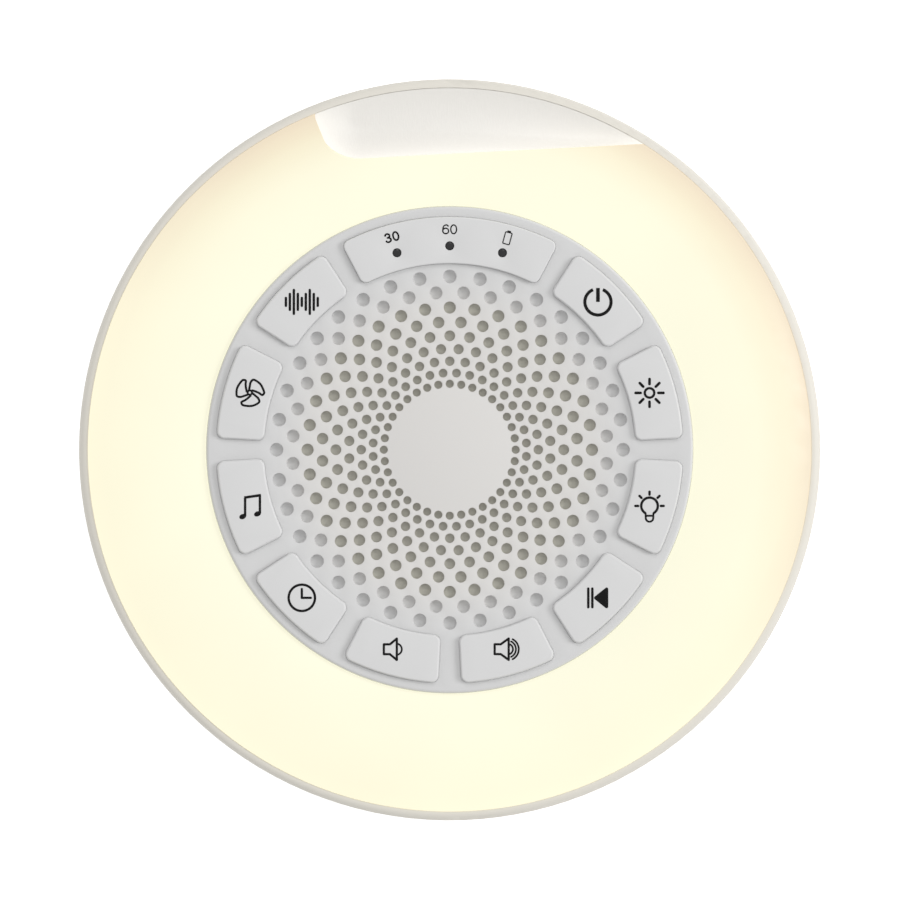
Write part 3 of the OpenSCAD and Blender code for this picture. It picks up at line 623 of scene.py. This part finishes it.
def diffuser_finish():
    """Milky translucent plastic, lit from within: palest over the lamps, warmer towards the rim, and with
    painted shade that makes the outer part darker and more peach towards the upper right.
    """
    finish = Finish("diffuser", (0.25, 0.24, 0.19), 0.38, specular=0.3)
    outward = finish.remap(finish.radius(), GLOW_IN_R * MM, GLOW_R * MM)
    pale = ramp(finish, outward, [(0, (0.75, 0.74, 0.59)), (0.5, (0.76, 0.74, 0.57)),
                                  (0.88, (0.79, 0.75, 0.57)), (0.97, (0.81, 0.77, 0.58)),
                                  (1, (0.81, 0.77, 0.58))])
    # the glow's colour where the painted shade lies: darker and more peach outwards
    shaded_side = ramp(finish, outward, [(0, (0.77, 0.76, 0.60)), (0.55, (0.76, 0.74, 0.58)),
                                  (0.8, (0.70, 0.63, 0.46)), (0.94, (0.65, 0.54, 0.40)),
                                  (1, (0.62, 0.51, 0.38))])
    # painted shade: the glow turns to the darker, more peach colours towards the upper right; this is the
    # distance that way, in metres
    shaded_x, shaded_y = 0.5, 0.87
    lean = finish.math("ADD", finish.math("MULTIPLY", finish.axis("X"), shaded_x),
                       finish.math("MULTIPLY", finish.axis("Y"), shaded_y))
    shade_share = finish.remap(lean, -25 * MM, 35 * MM, smooth=True)
    cloud = finish.noise(26)
    finish.shade(cloud, 0.02)
    finish.feed("Emission Color", finish.mix(shade_share, pale, shaded_side))
    finish.feed("Emission Strength", finish.spread(cloud, 0.98, 1.02))
    finish.gloss(finish.noise(2.5, 3), 0.33, 0.45)
    finish.bump(finish.noise(0.3, 3), 0.003)
    return finish


def grip_finish():
    """The shell's plastic with a fine brushed grain, and a painted glow along its inner edge that stands in
    for the ring's light falling on it.
    """
    finish = plastic("grip_white", (0.82, 0.8, 0.76), 0.5)
    grain = finish.noise(0.5, 3, (2.5, 0.5, 1))
    finish.shade(grain, 0.025)
    finish.bump(grain, 0.015)
    # painted light: emission near the inner edge stands in for the ring's light on the grip
    painted_spill = finish.node("ShaderNodeAttribute", attribute_name="painted_spill")
    finish.put("Emission Color", (1, 0.93, 0.78, 1))
    finish.feed("Emission Strength", finish.math("MULTIPLY", painted_spill.outputs["Fac"], GRIP_GLOW))
    return finish


FINISHES = make_finishes()
INK = ink_finish().material


def dress_cad_nodes():
    """Gives every CAD node the finish of its slot."""
    for part in frame["record"]["subparts"]:
        shown = frame["nodes"][part["node"]]
        shown.data.materials.clear()
        shown.data.materials.append(FINISHES[part["material_slot"]])


# ------------ control panel

def grille_ring_r(ring):
    return GRILLE_R + ring * GRILLE_STEP + GRILLE_GROWTH * ring * (ring - 1) / 2


def grille_holes(first, last):
    """(centre, radius) of each hole in these rings. Every second ring is turned by half a pitch."""
    for ring in range(first, last):
        r = grille_ring_r(ring)
        for i in range(RING_HOLES):
            a = math.radians((i + (ring % 2) / 2) * 360 / RING_HOLES)
            yield polar(r, a), (HOLE_D + ring * HOLE_GROWTH) / 2


def key_outline(half_angle, turn, inset=0):
    return turned(sector(KEY_IN_R, KEY_OUT_R, half_angle, KEY_CORNER, inset), turn)


def dimple(r):
    """Profile of a blind hole from its rounded edge to near its middle, as (inset, drop) pairs."""
    wall_drop, ramp_drop = DIMPLE_DEPTH - 0.06, DIMPLE_DEPTH - 0.02
    corner = [(-inset, wall_drop - drop) for inset, drop in reversed(rounded(DIMPLE_ROUND, 5))]
    return rounded(EDGE, 3) + corner + [(-0.7 * r, ramp_drop), (-0.9 * r, DIMPLE_DEPTH)]


def make_control_panel():
    solid = Solid()
    skirt_r = PANEL_R - SKIRT_T
    profile = [(PANEL_R - inset, PANEL_Z - drop) for inset, drop in rounded(PANEL_ROUND, 6)]
    profile += [(PANEL_R, DECK_Z), (skirt_r, DECK_Z), (skirt_r, PANEL_UNDER_Z)]
    wall = solid.tube(profile, 360)

    top_holes, under_holes, recess_holes = [], [], []
    openings = [(KEY_HALF_ANGLE, key_turn(i), KEY_GAP) for i in range(len(KEYS))]
    openings.append((BAR_HALF_ANGLE, 0, BAR_GAP))
    for half_angle, turn, gap in openings:
        loops = [solid.loop(key_outline(half_angle, turn, -gap - inset), PANEL_Z - drop)
                 for inset, drop in rounded(EDGE, 3)]
        loops.append(solid.loop(key_outline(half_angle, turn, -gap), PANEL_UNDER_Z))
        solid.bridge(*loops)
        top_holes.append(loops[0])
        under_holes.append(loops[-1])

    for centre, r in grille_holes(0, OPEN_RINGS):
        top, bottom = solid.bore(r, centre, PANEL_Z, GRILLE_UNDER_Z)
        top_holes.append(top)
        recess_holes.append(bottom)

    for centre, r in grille_holes(OPEN_RINGS, OPEN_RINGS + BLIND_RINGS):
        loops = solid.tube([(r + inset, PANEL_Z - drop) for inset, drop in dimple(r)], HOLE_STEPS, centre)
        solid.cap(loops[-1])
        top_holes.append(loops[0])

    recess_r = CLOTH_R + CLOTH_PLAY
    recess = solid.tube([(recess_r, PANEL_UNDER_Z), (recess_r, GRILLE_UNDER_Z)], 180)
    under_holes.append(recess[0])
    for i in range(4):
        centre = turned([(BOSS_RING_R, 0)], 45 + 90 * i)[0]
        boss = solid.tube([(BOSS_R, PANEL_UNDER_Z), (BOSS_R, DECK_Z), (BORE_R, DECK_Z),
                           (BORE_R, DECK_Z + BORE_DEPTH)], HOLE_STEPS, centre)
        solid.cap(boss[-1])
        under_holes.append(boss[0])

    solid.fill(wall[0], top_holes)
    solid.fill(wall[-1], under_holes)
    solid.fill(recess[1], recess_holes)
    solid.piece("panel", "panel_grey", replaces=["control_panel"])


# ------------ keys, bar and lenses

def make_cap(name, half_angle, turn, lip_z, foot, body, replaces, holes=(), stem=False):
    """A key or the bar: rounded top edge, a foot that nearly fills the opening, a lip under the panel."""
    solid = Solid()
    top_z = KEY_TOP_Z - INK_T
    low_z = lip_z - LIP_T
    profile = [(inset, top_z - drop) for inset, drop in rounded(KEY_ROUND, 6)]
    profile += [(0, PANEL_Z - FOOT_START), (-foot, PANEL_Z - FOOT_FULL), (-foot, lip_z), (-LIP_W, lip_z),
                (-LIP_W, low_z)]
    loops = [solid.loop(key_outline(half_angle, turn, inset), z) for inset, z in profile]
    solid.bridge(*loops)
    tops, bottoms = [], []
    for centre, r in holes:
        top, bottom = solid.bore(r, centre, top_z, low_z)
        tops.append(top)
        bottoms.append(bottom)
    if stem:
        centre = turned([(0, (KEY_IN_R + KEY_OUT_R) / 2)], turn)[0]
        post = solid.tube([(STEM_R, low_z), (STEM_R, STEM_LOW_Z)], 48, centre)
        solid.cap(post[-1])
        bottoms.append(post[0])
    solid.fill(loops[0], tops)
    solid.fill(loops[-1], bottoms)
    solid.piece(name, "key_grey", body, replaces=replaces)


def lens_centres():
    return [turned([(0, LENS_RING_R)], turn)[0] for turn in (-LENS_PITCH, 0, LENS_PITCH)]


def make_lenses():
    solid = Solid()
    collar_r, collar_top = LENS_R + LENS_COLLAR, PANEL_UNDER_Z - LIP_T
    collar_low = collar_top - LENS_COLLAR_T
    profile = [(0, LENS_LOW_Z), (LENS_R, LENS_LOW_Z), (LENS_R, collar_low), (collar_r, collar_low),
               (collar_r, collar_top), (LENS_R, collar_top)]
    profile += [(LENS_R - inset, LENS_TOP_Z - 0.08 - drop) for inset, drop in reversed(rounded(0.15, 4))]
    profile += [(0.35, LENS_TOP_Z - 0.02), (0.15, LENS_TOP_Z), (0, LENS_TOP_Z)]
    for centre in lens_centres():
        solid.revolve(profile, 40, centre)
    solid.piece("lenses", "indicator_black", replaces=["indicator_lenses"])


# ------------ print

def band(points, width, closed=False):
    """A line of a width along points, as four-sided polygons that share their ends."""
    width += INK_SPREAD
    n = len(points)
    pairs = []
    for i, (x, y) in enumerate(points):
        before = points[(i - 1) % n] if closed or i else points[i]
        after = points[(i + 1) % n] if closed or i < n - 1 else points[i]
        a, b = unit(x - before[0], y - before[1]), unit(after[0] - x, after[1] - y)
        if before == points[i]:
            a = b
        if after == points[i]:
            b = a
        tx, ty = unit(a[0] + b[0], a[1] + b[1])
        reach = width / 2 / max(0.5, tx * b[0] + ty * b[1])
        pairs.append(((x - ty * reach, y + tx * reach), (x + ty * reach, y - tx * reach)))
    spans = range(n) if closed else range(n - 1)
    return [[pairs[i][0], pairs[(i + 1) % n][0], pairs[(i + 1) % n][1], pairs[i][1]] for i in spans]


def dots(points, width):
    """Round ends for lines of this width."""
    return [circle((width + INK_SPREAD) / 2, 16, p) for p in points]


def line(points, width, closed=False):
    """A line with round ends and round corners."""
    polygons = dots(points, width)
    spans = zip(points, points[1:] + points[:1]) if closed else zip(points, points[1:])
    for a, b in spans:
        polygons += band([a, b], width)
    return polygons


def ring(radius, width, centre=(0, 0)):
    return band(circle(radius, 64, centre), width, closed=True)


def noise_icon():
    heights = [1.42, 2.6, 3.78, 2.6]
    shapes = []
    for i in range(9):
        reach = heights[i % 4] / 2 - 0.13
        x = (i - 4) * 0.59
        shapes += line([(x, -reach), (x, reach)], 0.3)
    return shapes


def power_icon():
    return band(arc(1.94, 112, 428, 60), 0.4) + band([(0, 0), (0, 2.07)], 0.48)


def fan_icon():
    blade = spline([(-0.11, 0.39), (0.0, 1.0), (0.14, 1.55), (0.6, 1.9), (1.55, 1.26), (2.1, 0.16),
                    (2.02, -0.24), (1.78, -0.35), (1.39, -0.08), (0.86, 0.16), (0.36, 0.32)], 4)
    shapes = ring(0.32, 0.22)
    for turn in (0, 120, 240):
        shapes += band(turned(blade, turn), 0.25) + dots(turned([blade[0], blade[-1]], turn), 0.25)
    return shapes


def sun_icon():
    shapes = ring(0.7, 0.29)
    for i in range(8):
        shapes += line(turned([(1.31, 0), (2.06, 0)], 45 * i), 0.33)
    return shapes


def music_icon():
    shapes = band([(-1.0, -1.3), (-1.0, 1.45)], 0.29) + band([(1.19, -0.9), (1.19, 1.8)], 0.29)
    shapes.append([(-1.13, 1.24), (1.32, 1.6), (1.32, 2.0), (-1.13, 1.64)])
    for x, y in ((-1.36, -1.37), (0.83, -0.97)):
        shapes.append(moved(turned(circle(0.52, 24, squash=0.72), 22), x, y))
    return shapes


def light_icon():
    shapes = band(arc(1.23, -62, 242, 44), 0.3)
    shapes += line([(0.58, -1.09), (0.56, -1.46), (-0.56, -1.46), (-0.58, -1.09)], 0.22)
    shapes += line([(-0.56, -1.46)] + arc(0.56, 180, 360, 12, (0, -1.78)) + [(0.56, -1.46)], 0.22)
    for turn in (0, 45, 90, 135, 180):
        shapes += line(turned([(1.68, 0), (2.1, 0)], turn), 0.3)
    return shapes


def timer_icon():
    return ring(1.95, 0.29) + line([(0, 1.3), (0, 0), (1.34, 0)], 0.28)


def previous_icon():
    shapes = line([(-1.47, -1.38), (-1.47, 1.38)], 0.3) + line([(-0.87, -1.38), (-0.87, 1.38)], 0.3)
    corners = [(-0.38, 0), (1.25, 1.31), (1.25, -1.31)]
    return shapes + line(corners, 0.4, closed=True) + [corners]


def speaker_shape(left, cone):
    """Outline of a small loudspeaker: a box on the left and a cone that opens to the right."""
    neck = left + 0.9
    upper = [(left, 0.73), (neck, 0.73), (cone, 1.58)]
    lower = [(x, -y) for x, y in reversed(upper)]
    return line(upper + lower, 0.27, closed=True)


def bow(x, bulge, half):
    """An arc that starts and ends at x and bulges to the right."""
    r = (half ** 2 + bulge ** 2) / (2 * bulge)
    reach = math.degrees(math.asin(min(1, half / r)))
    points = arc(r, -reach, reach, 20, (x + bulge - r, 0))
    return band(points, 0.2) + dots([points[0], points[-1]], 0.2)


def volume_down_icon():
    return speaker_shape(-1.35, 0.57) + bow(0.74, 0.57, 0.8)


def volume_up_icon():
    shapes = speaker_shape(-1.84, 0.24)
    for x, bulge, half in ((0.4, 0.47, 0.72), (0.6, 0.71, 1.14), (0.82, 0.91, 1.48)):
        shapes += bow(x, bulge, half)
    return shapes


def digit_zero(w, h, stroke):
    return band(circle((w - stroke) / 2, 40, squash=(h - stroke) / (w - stroke)), stroke, closed=True)


def digit_three(w, h, stroke):
    x, y = (w - stroke) / 2, (h - stroke) / 2
    curve = spline([(-x, 0.55 * y), (-0.55 * x, 0.93 * y), (0.05 * x, y), (0.68 * x, 0.82 * y),
                    (0.84 * x, 0.5 * y), (0.62 * x, 0.18 * y), (-0.15 * x, 0.06 * y)], 5)
    lower = spline([(-0.15 * x, 0.06 * y), (0.55 * x, -0.03 * y), (x, -0.4 * y), (0.85 * x, -0.78 * y),
                    (0.1 * x, -y), (-0.6 * x, -0.9 * y), (-x, -0.52 * y)], 5)
    return band(curve, stroke) + band(lower, stroke) + dots([curve[-1]], stroke)


def digit_six(w, h, stroke):
    x, y = (w - stroke) / 2, (h - stroke) / 2
    bowl_r = 0.62 * y
    shapes = band(circle(x, 36, (0, bowl_r - y), bowl_r / x), stroke, closed=True)
    hook = spline([(0.92 * x, 0.62 * y), (0.6 * x, 0.93 * y), (0.05 * x, y), (-0.62 * x, 0.76 * y),
                   (-0.94 * x, 0.2 * y), (-x, bowl_r - y)], 5)
    return shapes + band(hook, stroke)


def battery_icon():
    x, y, r = 0.5, 0.88, 0.12
    body = (arc(r, 0, 90, 4, (x - r, y - r)) + arc(r, 90, 180, 4, (r - x, y - r))
            + arc(r, 180, 270, 4, (r - x, r - y)) + arc(r, 270, 360, 4, (x - r, r - y)))
    return band(body, 0.09, closed=True) + [[(-0.27, y), (0.27, y), (0.27, y + 0.28), (-0.27, y + 0.28)]]


def pair(left, right, gap):
    """Two digits side by side, their middles a gap apart."""
    return [moved(shape, -gap / 2, 0) for shape in left] + [moved(shape, gap / 2, 0) for shape in right]


def area(outline):
    """Area inside an outline, negative for a clockwise one."""
    return sum(a[0] * b[1] - b[0] * a[1] for a, b in zip(outline, outline[1:] + outline[:1])) / 2


def make_print(name, shapes, centre, turn, body):
    """Overlapping polygons become one thin sheet of ink on a cap."""
    points, faces = [], []
    for shape in shapes:
        if area(shape) < 0:
            shape = shape[::-1]
        faces.append(list(range(len(points), len(points) + len(shape))))
        points += [Vector(p) for p in moved(turned(shape, turn), *centre)]
    flat, _, triangles, _, _, regions = delaunay_2d_cdt(points, [], faces, 1, 1e-5)
    triangles = [triangle for triangle, region in zip(triangles, regions) if region]
    solid = Solid()
    tops, lows = (solid.loop([tuple(p) for p in flat], z) for z in (KEY_TOP_Z, KEY_TOP_Z - 2 * INK_T))
    edges = {}
    for triangle in triangles:
        solid.faces.append(tuple(tops[v] for v in triangle))
        solid.faces.append(tuple(lows[v] for v in reversed(triangle)))
        for a, b in zip(triangle, triangle[1:] + triangle[:1]):
            edges[(a, b)] = True
    solid.flat.update(range(len(solid.faces)))
    for a, b in edges:
        if (b, a) not in edges:
            solid.flat.add(len(solid.faces))
            solid.faces.append((tops[b], tops[a], lows[a], lows[b]))
    return solid.piece(name, "indicator_black", body, INK)


ICONS = {
    "noise": (noise_icon, (-21.9, 21.9)),
    "power": (power_icon, (21.96, 21.9)),
    "fan": (fan_icon, (-29.6, 8.47)),
    "brightness": (sun_icon, (29.6, 8.42)),
    "music": (music_icon, (-29.3, -8.53)),
    "light": (light_icon, (29.6, -8.32)),
    "timer": (timer_icon, (-21.9, -21.93)),
    "previous": (previous_icon, (22.0, -21.94)),
    "volume_down": (volume_down_icon, (-8.4, -29.55)),
    "volume_up": (volume_up_icon, (8.5, -29.54)),
}


def make_keys():
    for i, name in enumerate(KEYS):
        body = f"{name}_key"
        make_cap(f"{name}_cap", KEY_HALF_ANGLE, key_turn(i), PANEL_UNDER_Z - LIP_PLAY, KEY_GAP - TIGHT / 2,
                 body, [f"key_{name}"], stem=True)
        draw, centre = ICONS[name]
        make_print(f"{name}_icon", draw(), centre, 0, body)


def make_bar():
    holes = [(centre, LENS_R + LENS_PLAY) for centre in lens_centres()]
    make_cap("bar", BAR_HALF_ANGLE, 0, PANEL_UNDER_Z, BAR_GAP - TIGHT / 2, HOUSING, ["indicator_bar"], holes)
    height, bold, fine = 1.42, 0.19, 0.12
    thirty = pair(digit_three(0.95, height, bold), digit_zero(0.98, height, bold), 1.2)
    sixty = pair(digit_six(0.98, height, fine), digit_zero(0.98, height, fine), 1.18)
    make_print("thirty_print", thirty, (-8.57, 31.5), LENS_PITCH, HOUSING)
    make_print("sixty_print", sixty, (0, 32.65), 0, HOUSING)
    make_print("battery_print", battery_icon(), (8.55, 31.32), -LENS_PITCH, HOUSING)


# ------------ glowing ring and grip

def dome_z(r, inset=0):
    """Height of the ring's domed skin at a distance from the axis."""
    return CREST_Z - DOME_R + math.sqrt(max(0, (DOME_R - inset) ** 2 - (r - CREST_R) ** 2))


def bisected(path, reach=3):
    """Normals of a closed path, averaged over a few neighbours, so that offsets turn corners smoothly."""
    n = len(path)
    made = []
    for i, (point, _) in enumerate(path):
        near = [path[(i + k) % n][1] for k in range(-reach, reach + 1)]
        made.append((point, unit(sum(v[0] for v in near), sum(v[1] for v in near))))
    return made


def ring_outline():
    """The glowing ring's outer edge with the grip's notch: (point, inward normal, inner circle's angle)."""
    outer_r = GLOW_R + SEAM - TIGHT
    notch = grip_path(0, outer_r)
    left, right = (math.atan2(p[1], p[0]) for p, _ in (notch[0], notch[-1]))
    steps = 620
    span = 2 * math.pi - (left - right)
    path = []
    for i in range(1, steps):
        a = left + span * i / steps
        path.append((polar(outer_r, a), polar(-1, a), a))
    lengths = [0]
    for (p, _), (q, _) in zip(notch, notch[1:]):
        lengths.append(lengths[-1] + math.dist(p, q))
    for (point, normal), length in zip(reversed(notch), reversed(lengths)):
        path.append((point, normal, right + 2 * math.pi + (left - right) * (1 - length / lengths[-1])))
    smooth = bisected([(p, v) for p, v, _ in path])
    return [(p, v, a) for (p, v), (_, _, a) in zip(smooth, path)]


def make_glow_ring():
    solid = Solid()
    outline = ring_outline()
    edge_r, rim_t = 0.2, 0.4
    radial_steps = 34

    def at(inset, share, inner_r):
        """Points that lie a share of the way from the outer edge, drawn in, to an inner circle."""
        made = []
        for point, normal, a in outline:
            (ox, oy), (ix, iy) = ahead(point, normal, inset), polar(inner_r, a)
            made.append((ox + (ix - ox) * share, oy + (iy - oy) * share))
        return made

    def skin(points, drop=0):
        return [dome_z(math.hypot(x, y)) - drop for x, y in points]

    loops = [solid.loop(at(0, 0, GLOW_IN_R), SEAT_Z)]
    for inset, drop in reversed(rounded(edge_r, 6)):
        points = at(inset, 0, GLOW_IN_R)
        loops.append(solid.loop(points, skin(points, drop)))
    for i in range(1, radial_steps + 1):
        points = at(edge_r, i / radial_steps, GLOW_IN_R)
        loops.append(solid.loop(points, skin(points)))
    inner = GLOW_IN_R + GLOW_T
    loops.append(solid.loop(at(0, 1, GLOW_IN_R), DECK_Z))
    loops.append(solid.loop(at(0, 1, inner), DECK_Z))
    for i in range(radial_steps, -1, -1):
        points = at(GLOW_T, i / radial_steps, inner)
        loops.append(solid.loop(points, [max(SEAT_Z + rim_t, z - GLOW_T) for z in skin(points)]))
    loops.append(solid.loop(at(GLOW_T, 0, inner), SEAT_Z))
    solid.bridge(*loops, loops[0])
    solid.piece("ring_diffuser", "diffuser", replaces=["glow_ring"])


def make_grip():
    """The thumb grip: a dished white insert whose surface sweeps up to the ring at its inner edge."""
    solid = Solid()
    outer_r = GLOW_R + SEAM - 0.75 * TIGHT
    seam_path = grip_path(-TIGHT, outer_r)
    far, near = (GLOW_R, RIM_Z - 0.1), (GLOW_R + SEAM - GRIP_INSET - GRIP_END_R - 1, CREST_Z - 0.4)
    run = math.dist(far, near) / 2
    dish_r = (run * run + GRIP_SAG ** 2) / (2 * GRIP_SAG)
    slope = unit(near[0] - far[0], near[1] - far[1])
    middle = ((far[0] + near[0]) / 2, (far[1] + near[1]) / 2)
    dish_at = (middle[0] + (dish_r - GRIP_SAG) * slope[1], middle[1] - (dish_r - GRIP_SAG) * slope[0])
    edge_points = [p for p, _ in seam_path]
    wide, narrowing, under_ring = 5.5, 4.2, 0.03

    def height(x, y):
        r = math.hypot(x, y)
        dish = dish_at[1] - math.sqrt(max(0, dish_r ** 2 - (r - dish_at[0]) ** 2))
        distance, place = min((math.dist((x, y), p), i) for i, p in enumerate(edge_points))
        share = place / (len(edge_points) - 1)
        width = wide - narrowing * min(1, share * 1.2)
        sweep = max(0, 1 - distance / width) ** 1.5
        top = dome_z(r) - under_ring
        return min(dish + (top - dish) * sweep, top)

    left, right = (math.atan2(p[1], p[0]) for p in (edge_points[0], edge_points[-1]))
    steps = 110
    rim = [(polar(outer_r, a), polar(1, a))
           for a in (right + (left - right) * i / steps for i in range(1, steps))]
    path = bisected([(p, v) for p, v in seam_path] + rim, 2)
    loops = [solid.loop([p for p, _ in path], SEAT_Z)]
    for inset, drop in reversed(rounded(0.07, 3)):
        points = [ahead(p, v, -inset) for p, v in path]
        loops.append(solid.loop(points, [height(x, y) - drop for x, y in points]))
    solid.bridge(*loops)
    top = [solid.points[i][:2] for i in loops[-1]]
    spacing = 0.4
    inner = []
    for row in range(int(GRIP_END_R * 2 / spacing)):
        r = GLOW_R - (row + 0.8) * spacing
        count = int((left - right) * r / spacing)
        for i in range(count):
            p = polar(r, right + (left - right) * (i + 0.5) / count)
            if inside(p, top) and min(math.dist(p, q) for q in top) > 0.6 * spacing:
                inner.append(p)
    solid.fill(loops[-1], inner_points=inner, height=height)
    solid.cap(loops[0])
    grip = solid.piece("grip", "grip_white", replaces=["grip_insert"])
    # painted light: how strongly the grip is painted to glow, falling off with distance from its inner edge
    painted_spill = grip.data.attributes.new("painted_spill", "FLOAT", "POINT")
    for item, (x, y, _) in zip(painted_spill.data, solid.points):
        item.value = math.exp(-min(math.dist((x, y), p) for p in edge_points) / GRIP_GLOW_REACH)


def inside(point, outline):
    """Whether a point lies inside an outline."""
    x, y = point
    hit = False
    for (x0, y0), (x1, y1) in zip(outline, outline[1:] + outline[:1]):
        if (y0 > y) != (y1 > y) and x < (x1 - x0) * (y - y0) / (y1 - y0) + x0:
            hit = not hit
    return hit


# ------------ cloth, gasket, feet and socket

def make_cloth():
    solid = Solid()
    rings = [CLOTH_R * i / 30 for i in range(1, 31)]
    profile = [(0, GRILLE_UNDER_Z)] + [(r, GRILLE_UNDER_Z) for r in rings]
    profile += [(r, CLOTH_LOW_Z) for r in reversed(rings)] + [(0, CLOTH_LOW_Z)]
    solid.revolve(profile, 120)
    cloth = solid.piece("speaker_cloth", "cloth", replaces=["grille_cloth"])


def make_gasket():
    low, high = box_mm("speaker_gasket")
    outer, inner = high.x, high.x - GASKET_W
    bend = rounded(0.25, 3)
    profile = [(outer - inset, low.z + drop) for inset, drop in bend]
    profile += [(outer - inset, high.z - drop) for inset, drop in reversed(bend)]
    profile += [(inner + inset, high.z - drop) for inset, drop in bend]
    profile += [(inner + inset, low.z + drop) for inset, drop in reversed(bend)]
    solid = Solid()
    solid.revolve(profile, 120)
    gasket = solid.piece("foam_gasket", "gasket_foam", replaces=["speaker_gasket"])


def make_feet():
    """Four round feet, each with two moulded grooves in its sole."""
    low, high = box_mm("foot_pads")
    reach = math.hypot(high.x - FOOT_R, high.y - FOOT_R)
    profile = [(0, high.z), (FOOT_R, high.z)]
    profile += [(FOOT_R - inset, low.z + drop) for inset, drop in reversed(rounded(0.35, 5))]
    for r in (4.6, 3.2):
        groove = ((0.25, 0), (0.1, 0.2), (-0.1, 0.2), (-0.25, 0))
        profile += [(r + side, low.z + depth) for side, depth in groove]
    profile.append((0, low.z))
    solid = Solid()
    for i in range(4):
        solid.revolve(profile, 72, turned([(reach, 0)], 45 + 90 * i)[0])
    solid.piece("feet", "foot_rubber", replaces=["foot_pads"])


def stadium(w, h, steps=12):
    """A flat outline with round ends."""
    x = (w - h) / 2
    return arc(h / 2, -90, 90, steps, (x, 0)) + arc(h / 2, 90, 270, steps, (-x, 0))


def make_usb():
    """The charging socket: a steel shell with a rolled mouth, and the tongue and its contacts in it."""
    low, high = box_mm("usb_socket")
    mouth, floor = high.y, low.y + 1
    middle = (low.z + high.z) / 2
    wall, lip = 0.3, rounded(0.12, 3)
    shell = Solid()

    def loop(inset, y):
        start = len(shell.points)
        outline = stadium(high.x - low.x - 2 * inset, high.z - low.z - 2 * inset)
        shell.points += [(x, y, middle + z) for x, z in outline]
        return list(range(start, len(shell.points)))

    loops = [loop(0, low.y)] + [loop(inset, mouth - drop) for inset, drop in reversed(lip)]
    loops += [loop(wall - inset, mouth - drop) for inset, drop in lip] + [loop(wall, floor)]
    shell.bridge(*loops)
    shell.cap(loops[0])
    shell.cap(loops[-1])
    shell.piece("usb_shell", "screw_steel", replaces=["usb_socket"])

    half_w, half_t = 3.3, 0.35
    tongue = Solid()
    tongue.block((-half_w, floor, middle - half_t), (half_w, mouth - 0.9, middle + half_t), 0.25)
    tongue.piece("usb_tongue", "switch_black")

    count, pitch, half, contact_t = 12, 0.5, 0.12, 0.02
    contacts = Solid()
    for i in range(count):
        x = (i - (count - 1) / 2) * pitch
        for z in (middle - half_t - contact_t, middle + half_t):
            contacts.block((x - half, mouth - 5.5, z), (x + half, mouth - 1.2, z + contact_t), 0.02)
    contacts.piece("usb_contacts", "terminal_tin")


# ------------ stage

def add_area(name, azimuth, elevation, power):
    """A soft round light that looks at the unit, azimuth from +X towards +Y. The camera doesn't see it."""
    distance, size = 4, 1.8
    data = bpy.data.lights.new(name, "AREA")
    data.shape, data.size, data.energy = "DISK", size, power
    light = bpy.data.objects.new(name, data)
    a, e = math.radians(azimuth), math.radians(elevation)
    place = Vector((math.cos(a) * math.cos(e), math.sin(a) * math.cos(e), math.sin(e)))
    light.location = place * distance
    light.rotation_mode = "QUATERNION"
    light.rotation_quaternion = place.to_track_quat("Z", "Y")
    light.visible_camera = False
    bpy.context.scene.collection.objects.link(light)


def floor_finish():
    """White paper that glows beside the unit; the glow is taken away under it, a painted shadow there, and
    the paper isn't there when seen from below.
    """
    paper = Finish("floor", (0.93, 0.93, 0.93), 0.8, specular=0.1)
    paper.put("Emission Color", (1, 1, 1, 1))
    # painted shadow: the floor's glow fades out under the unit so that it reads darker there
    glow_outside_painted_shadow = paper.remap(paper.radius(), 0.7 * GLOW_R * MM, GLOW_R * MM, smooth=True)
    paper.feed("Emission Strength", paper.math("MULTIPLY", glow_outside_painted_shadow, 0.62))
    paper.gloss(paper.noise(40), 0.75, 0.9)
    one_sided = paper.node("ShaderNodeMixShader")
    below = paper.node("ShaderNodeNewGeometry").outputs["Backfacing"]
    clear = paper.node("ShaderNodeBsdfTransparent").outputs[0]
    for value, socket in zip((below, paper.shader.outputs[0], clear), one_sided.inputs):
        paper.join(value, socket)
    paper.join(one_sided.outputs[0], paper.tree.nodes["Material Output"].inputs["Surface"])
    return paper


def make_stage():
    scene = bpy.context.scene
    scene.view_settings.view_transform = "Standard"
    scene.view_settings.look = "None"
    world = bpy.data.worlds.new("studio")
    world.use_nodes = True
    sky = world.node_tree.nodes["Background"].inputs
    sky["Color"].default_value = (1, 1, 1, 1)
    sky["Strength"].default_value = 0.68
    scene.world = world
    add_area("key_light", 8, 33, 60)
    add_area("top_light", 80, 48, 21)

    reach = 8
    corners = [(-reach, -reach, 0), (reach, -reach, 0), (reach, reach, 0), (-reach, reach, 0)]
    floor_mesh = bpy.data.meshes.new("floor")
    floor_mesh.from_pydata(corners, [], [(0, 1, 2, 3)])
    floor_mesh.materials.append(floor_finish().material)
    floor = bpy.data.objects.new("floor", floor_mesh)
    floor.visible_diffuse = False
    scene.collection.objects.link(floor)


def make_camera():
    """A long lens straight above, as the photograph was taken."""
    photo_pixels, mm_per_pixel = 900, 0.14829
    centre_pixel = (449.2, 449.25)
    field = photo_pixels * mm_per_pixel
    lens, sensor = 1000, 36
    data = bpy.data.cameras.new("camera")
    data.lens, data.sensor_width = lens, sensor
    data.clip_end = 100
    camera = bpy.data.objects.new("camera", data)
    middle = (photo_pixels - 1) / 2
    camera.location = Vector(((middle - centre_pixel[0]) * mm_per_pixel,
                              (centre_pixel[1] - middle) * mm_per_pixel,
                              RIM_Z + field * lens / sensor)) * MM
    bpy.context.scene.collection.objects.link(camera)
    bpy.context.scene.camera = camera


make_camera()
make_stage()
dress_cad_nodes()
make_control_panel()
make_keys()
make_bar()
make_lenses()
make_glow_ring()
make_grip()
make_cloth()
make_gasket()
make_feet()
make_usb()
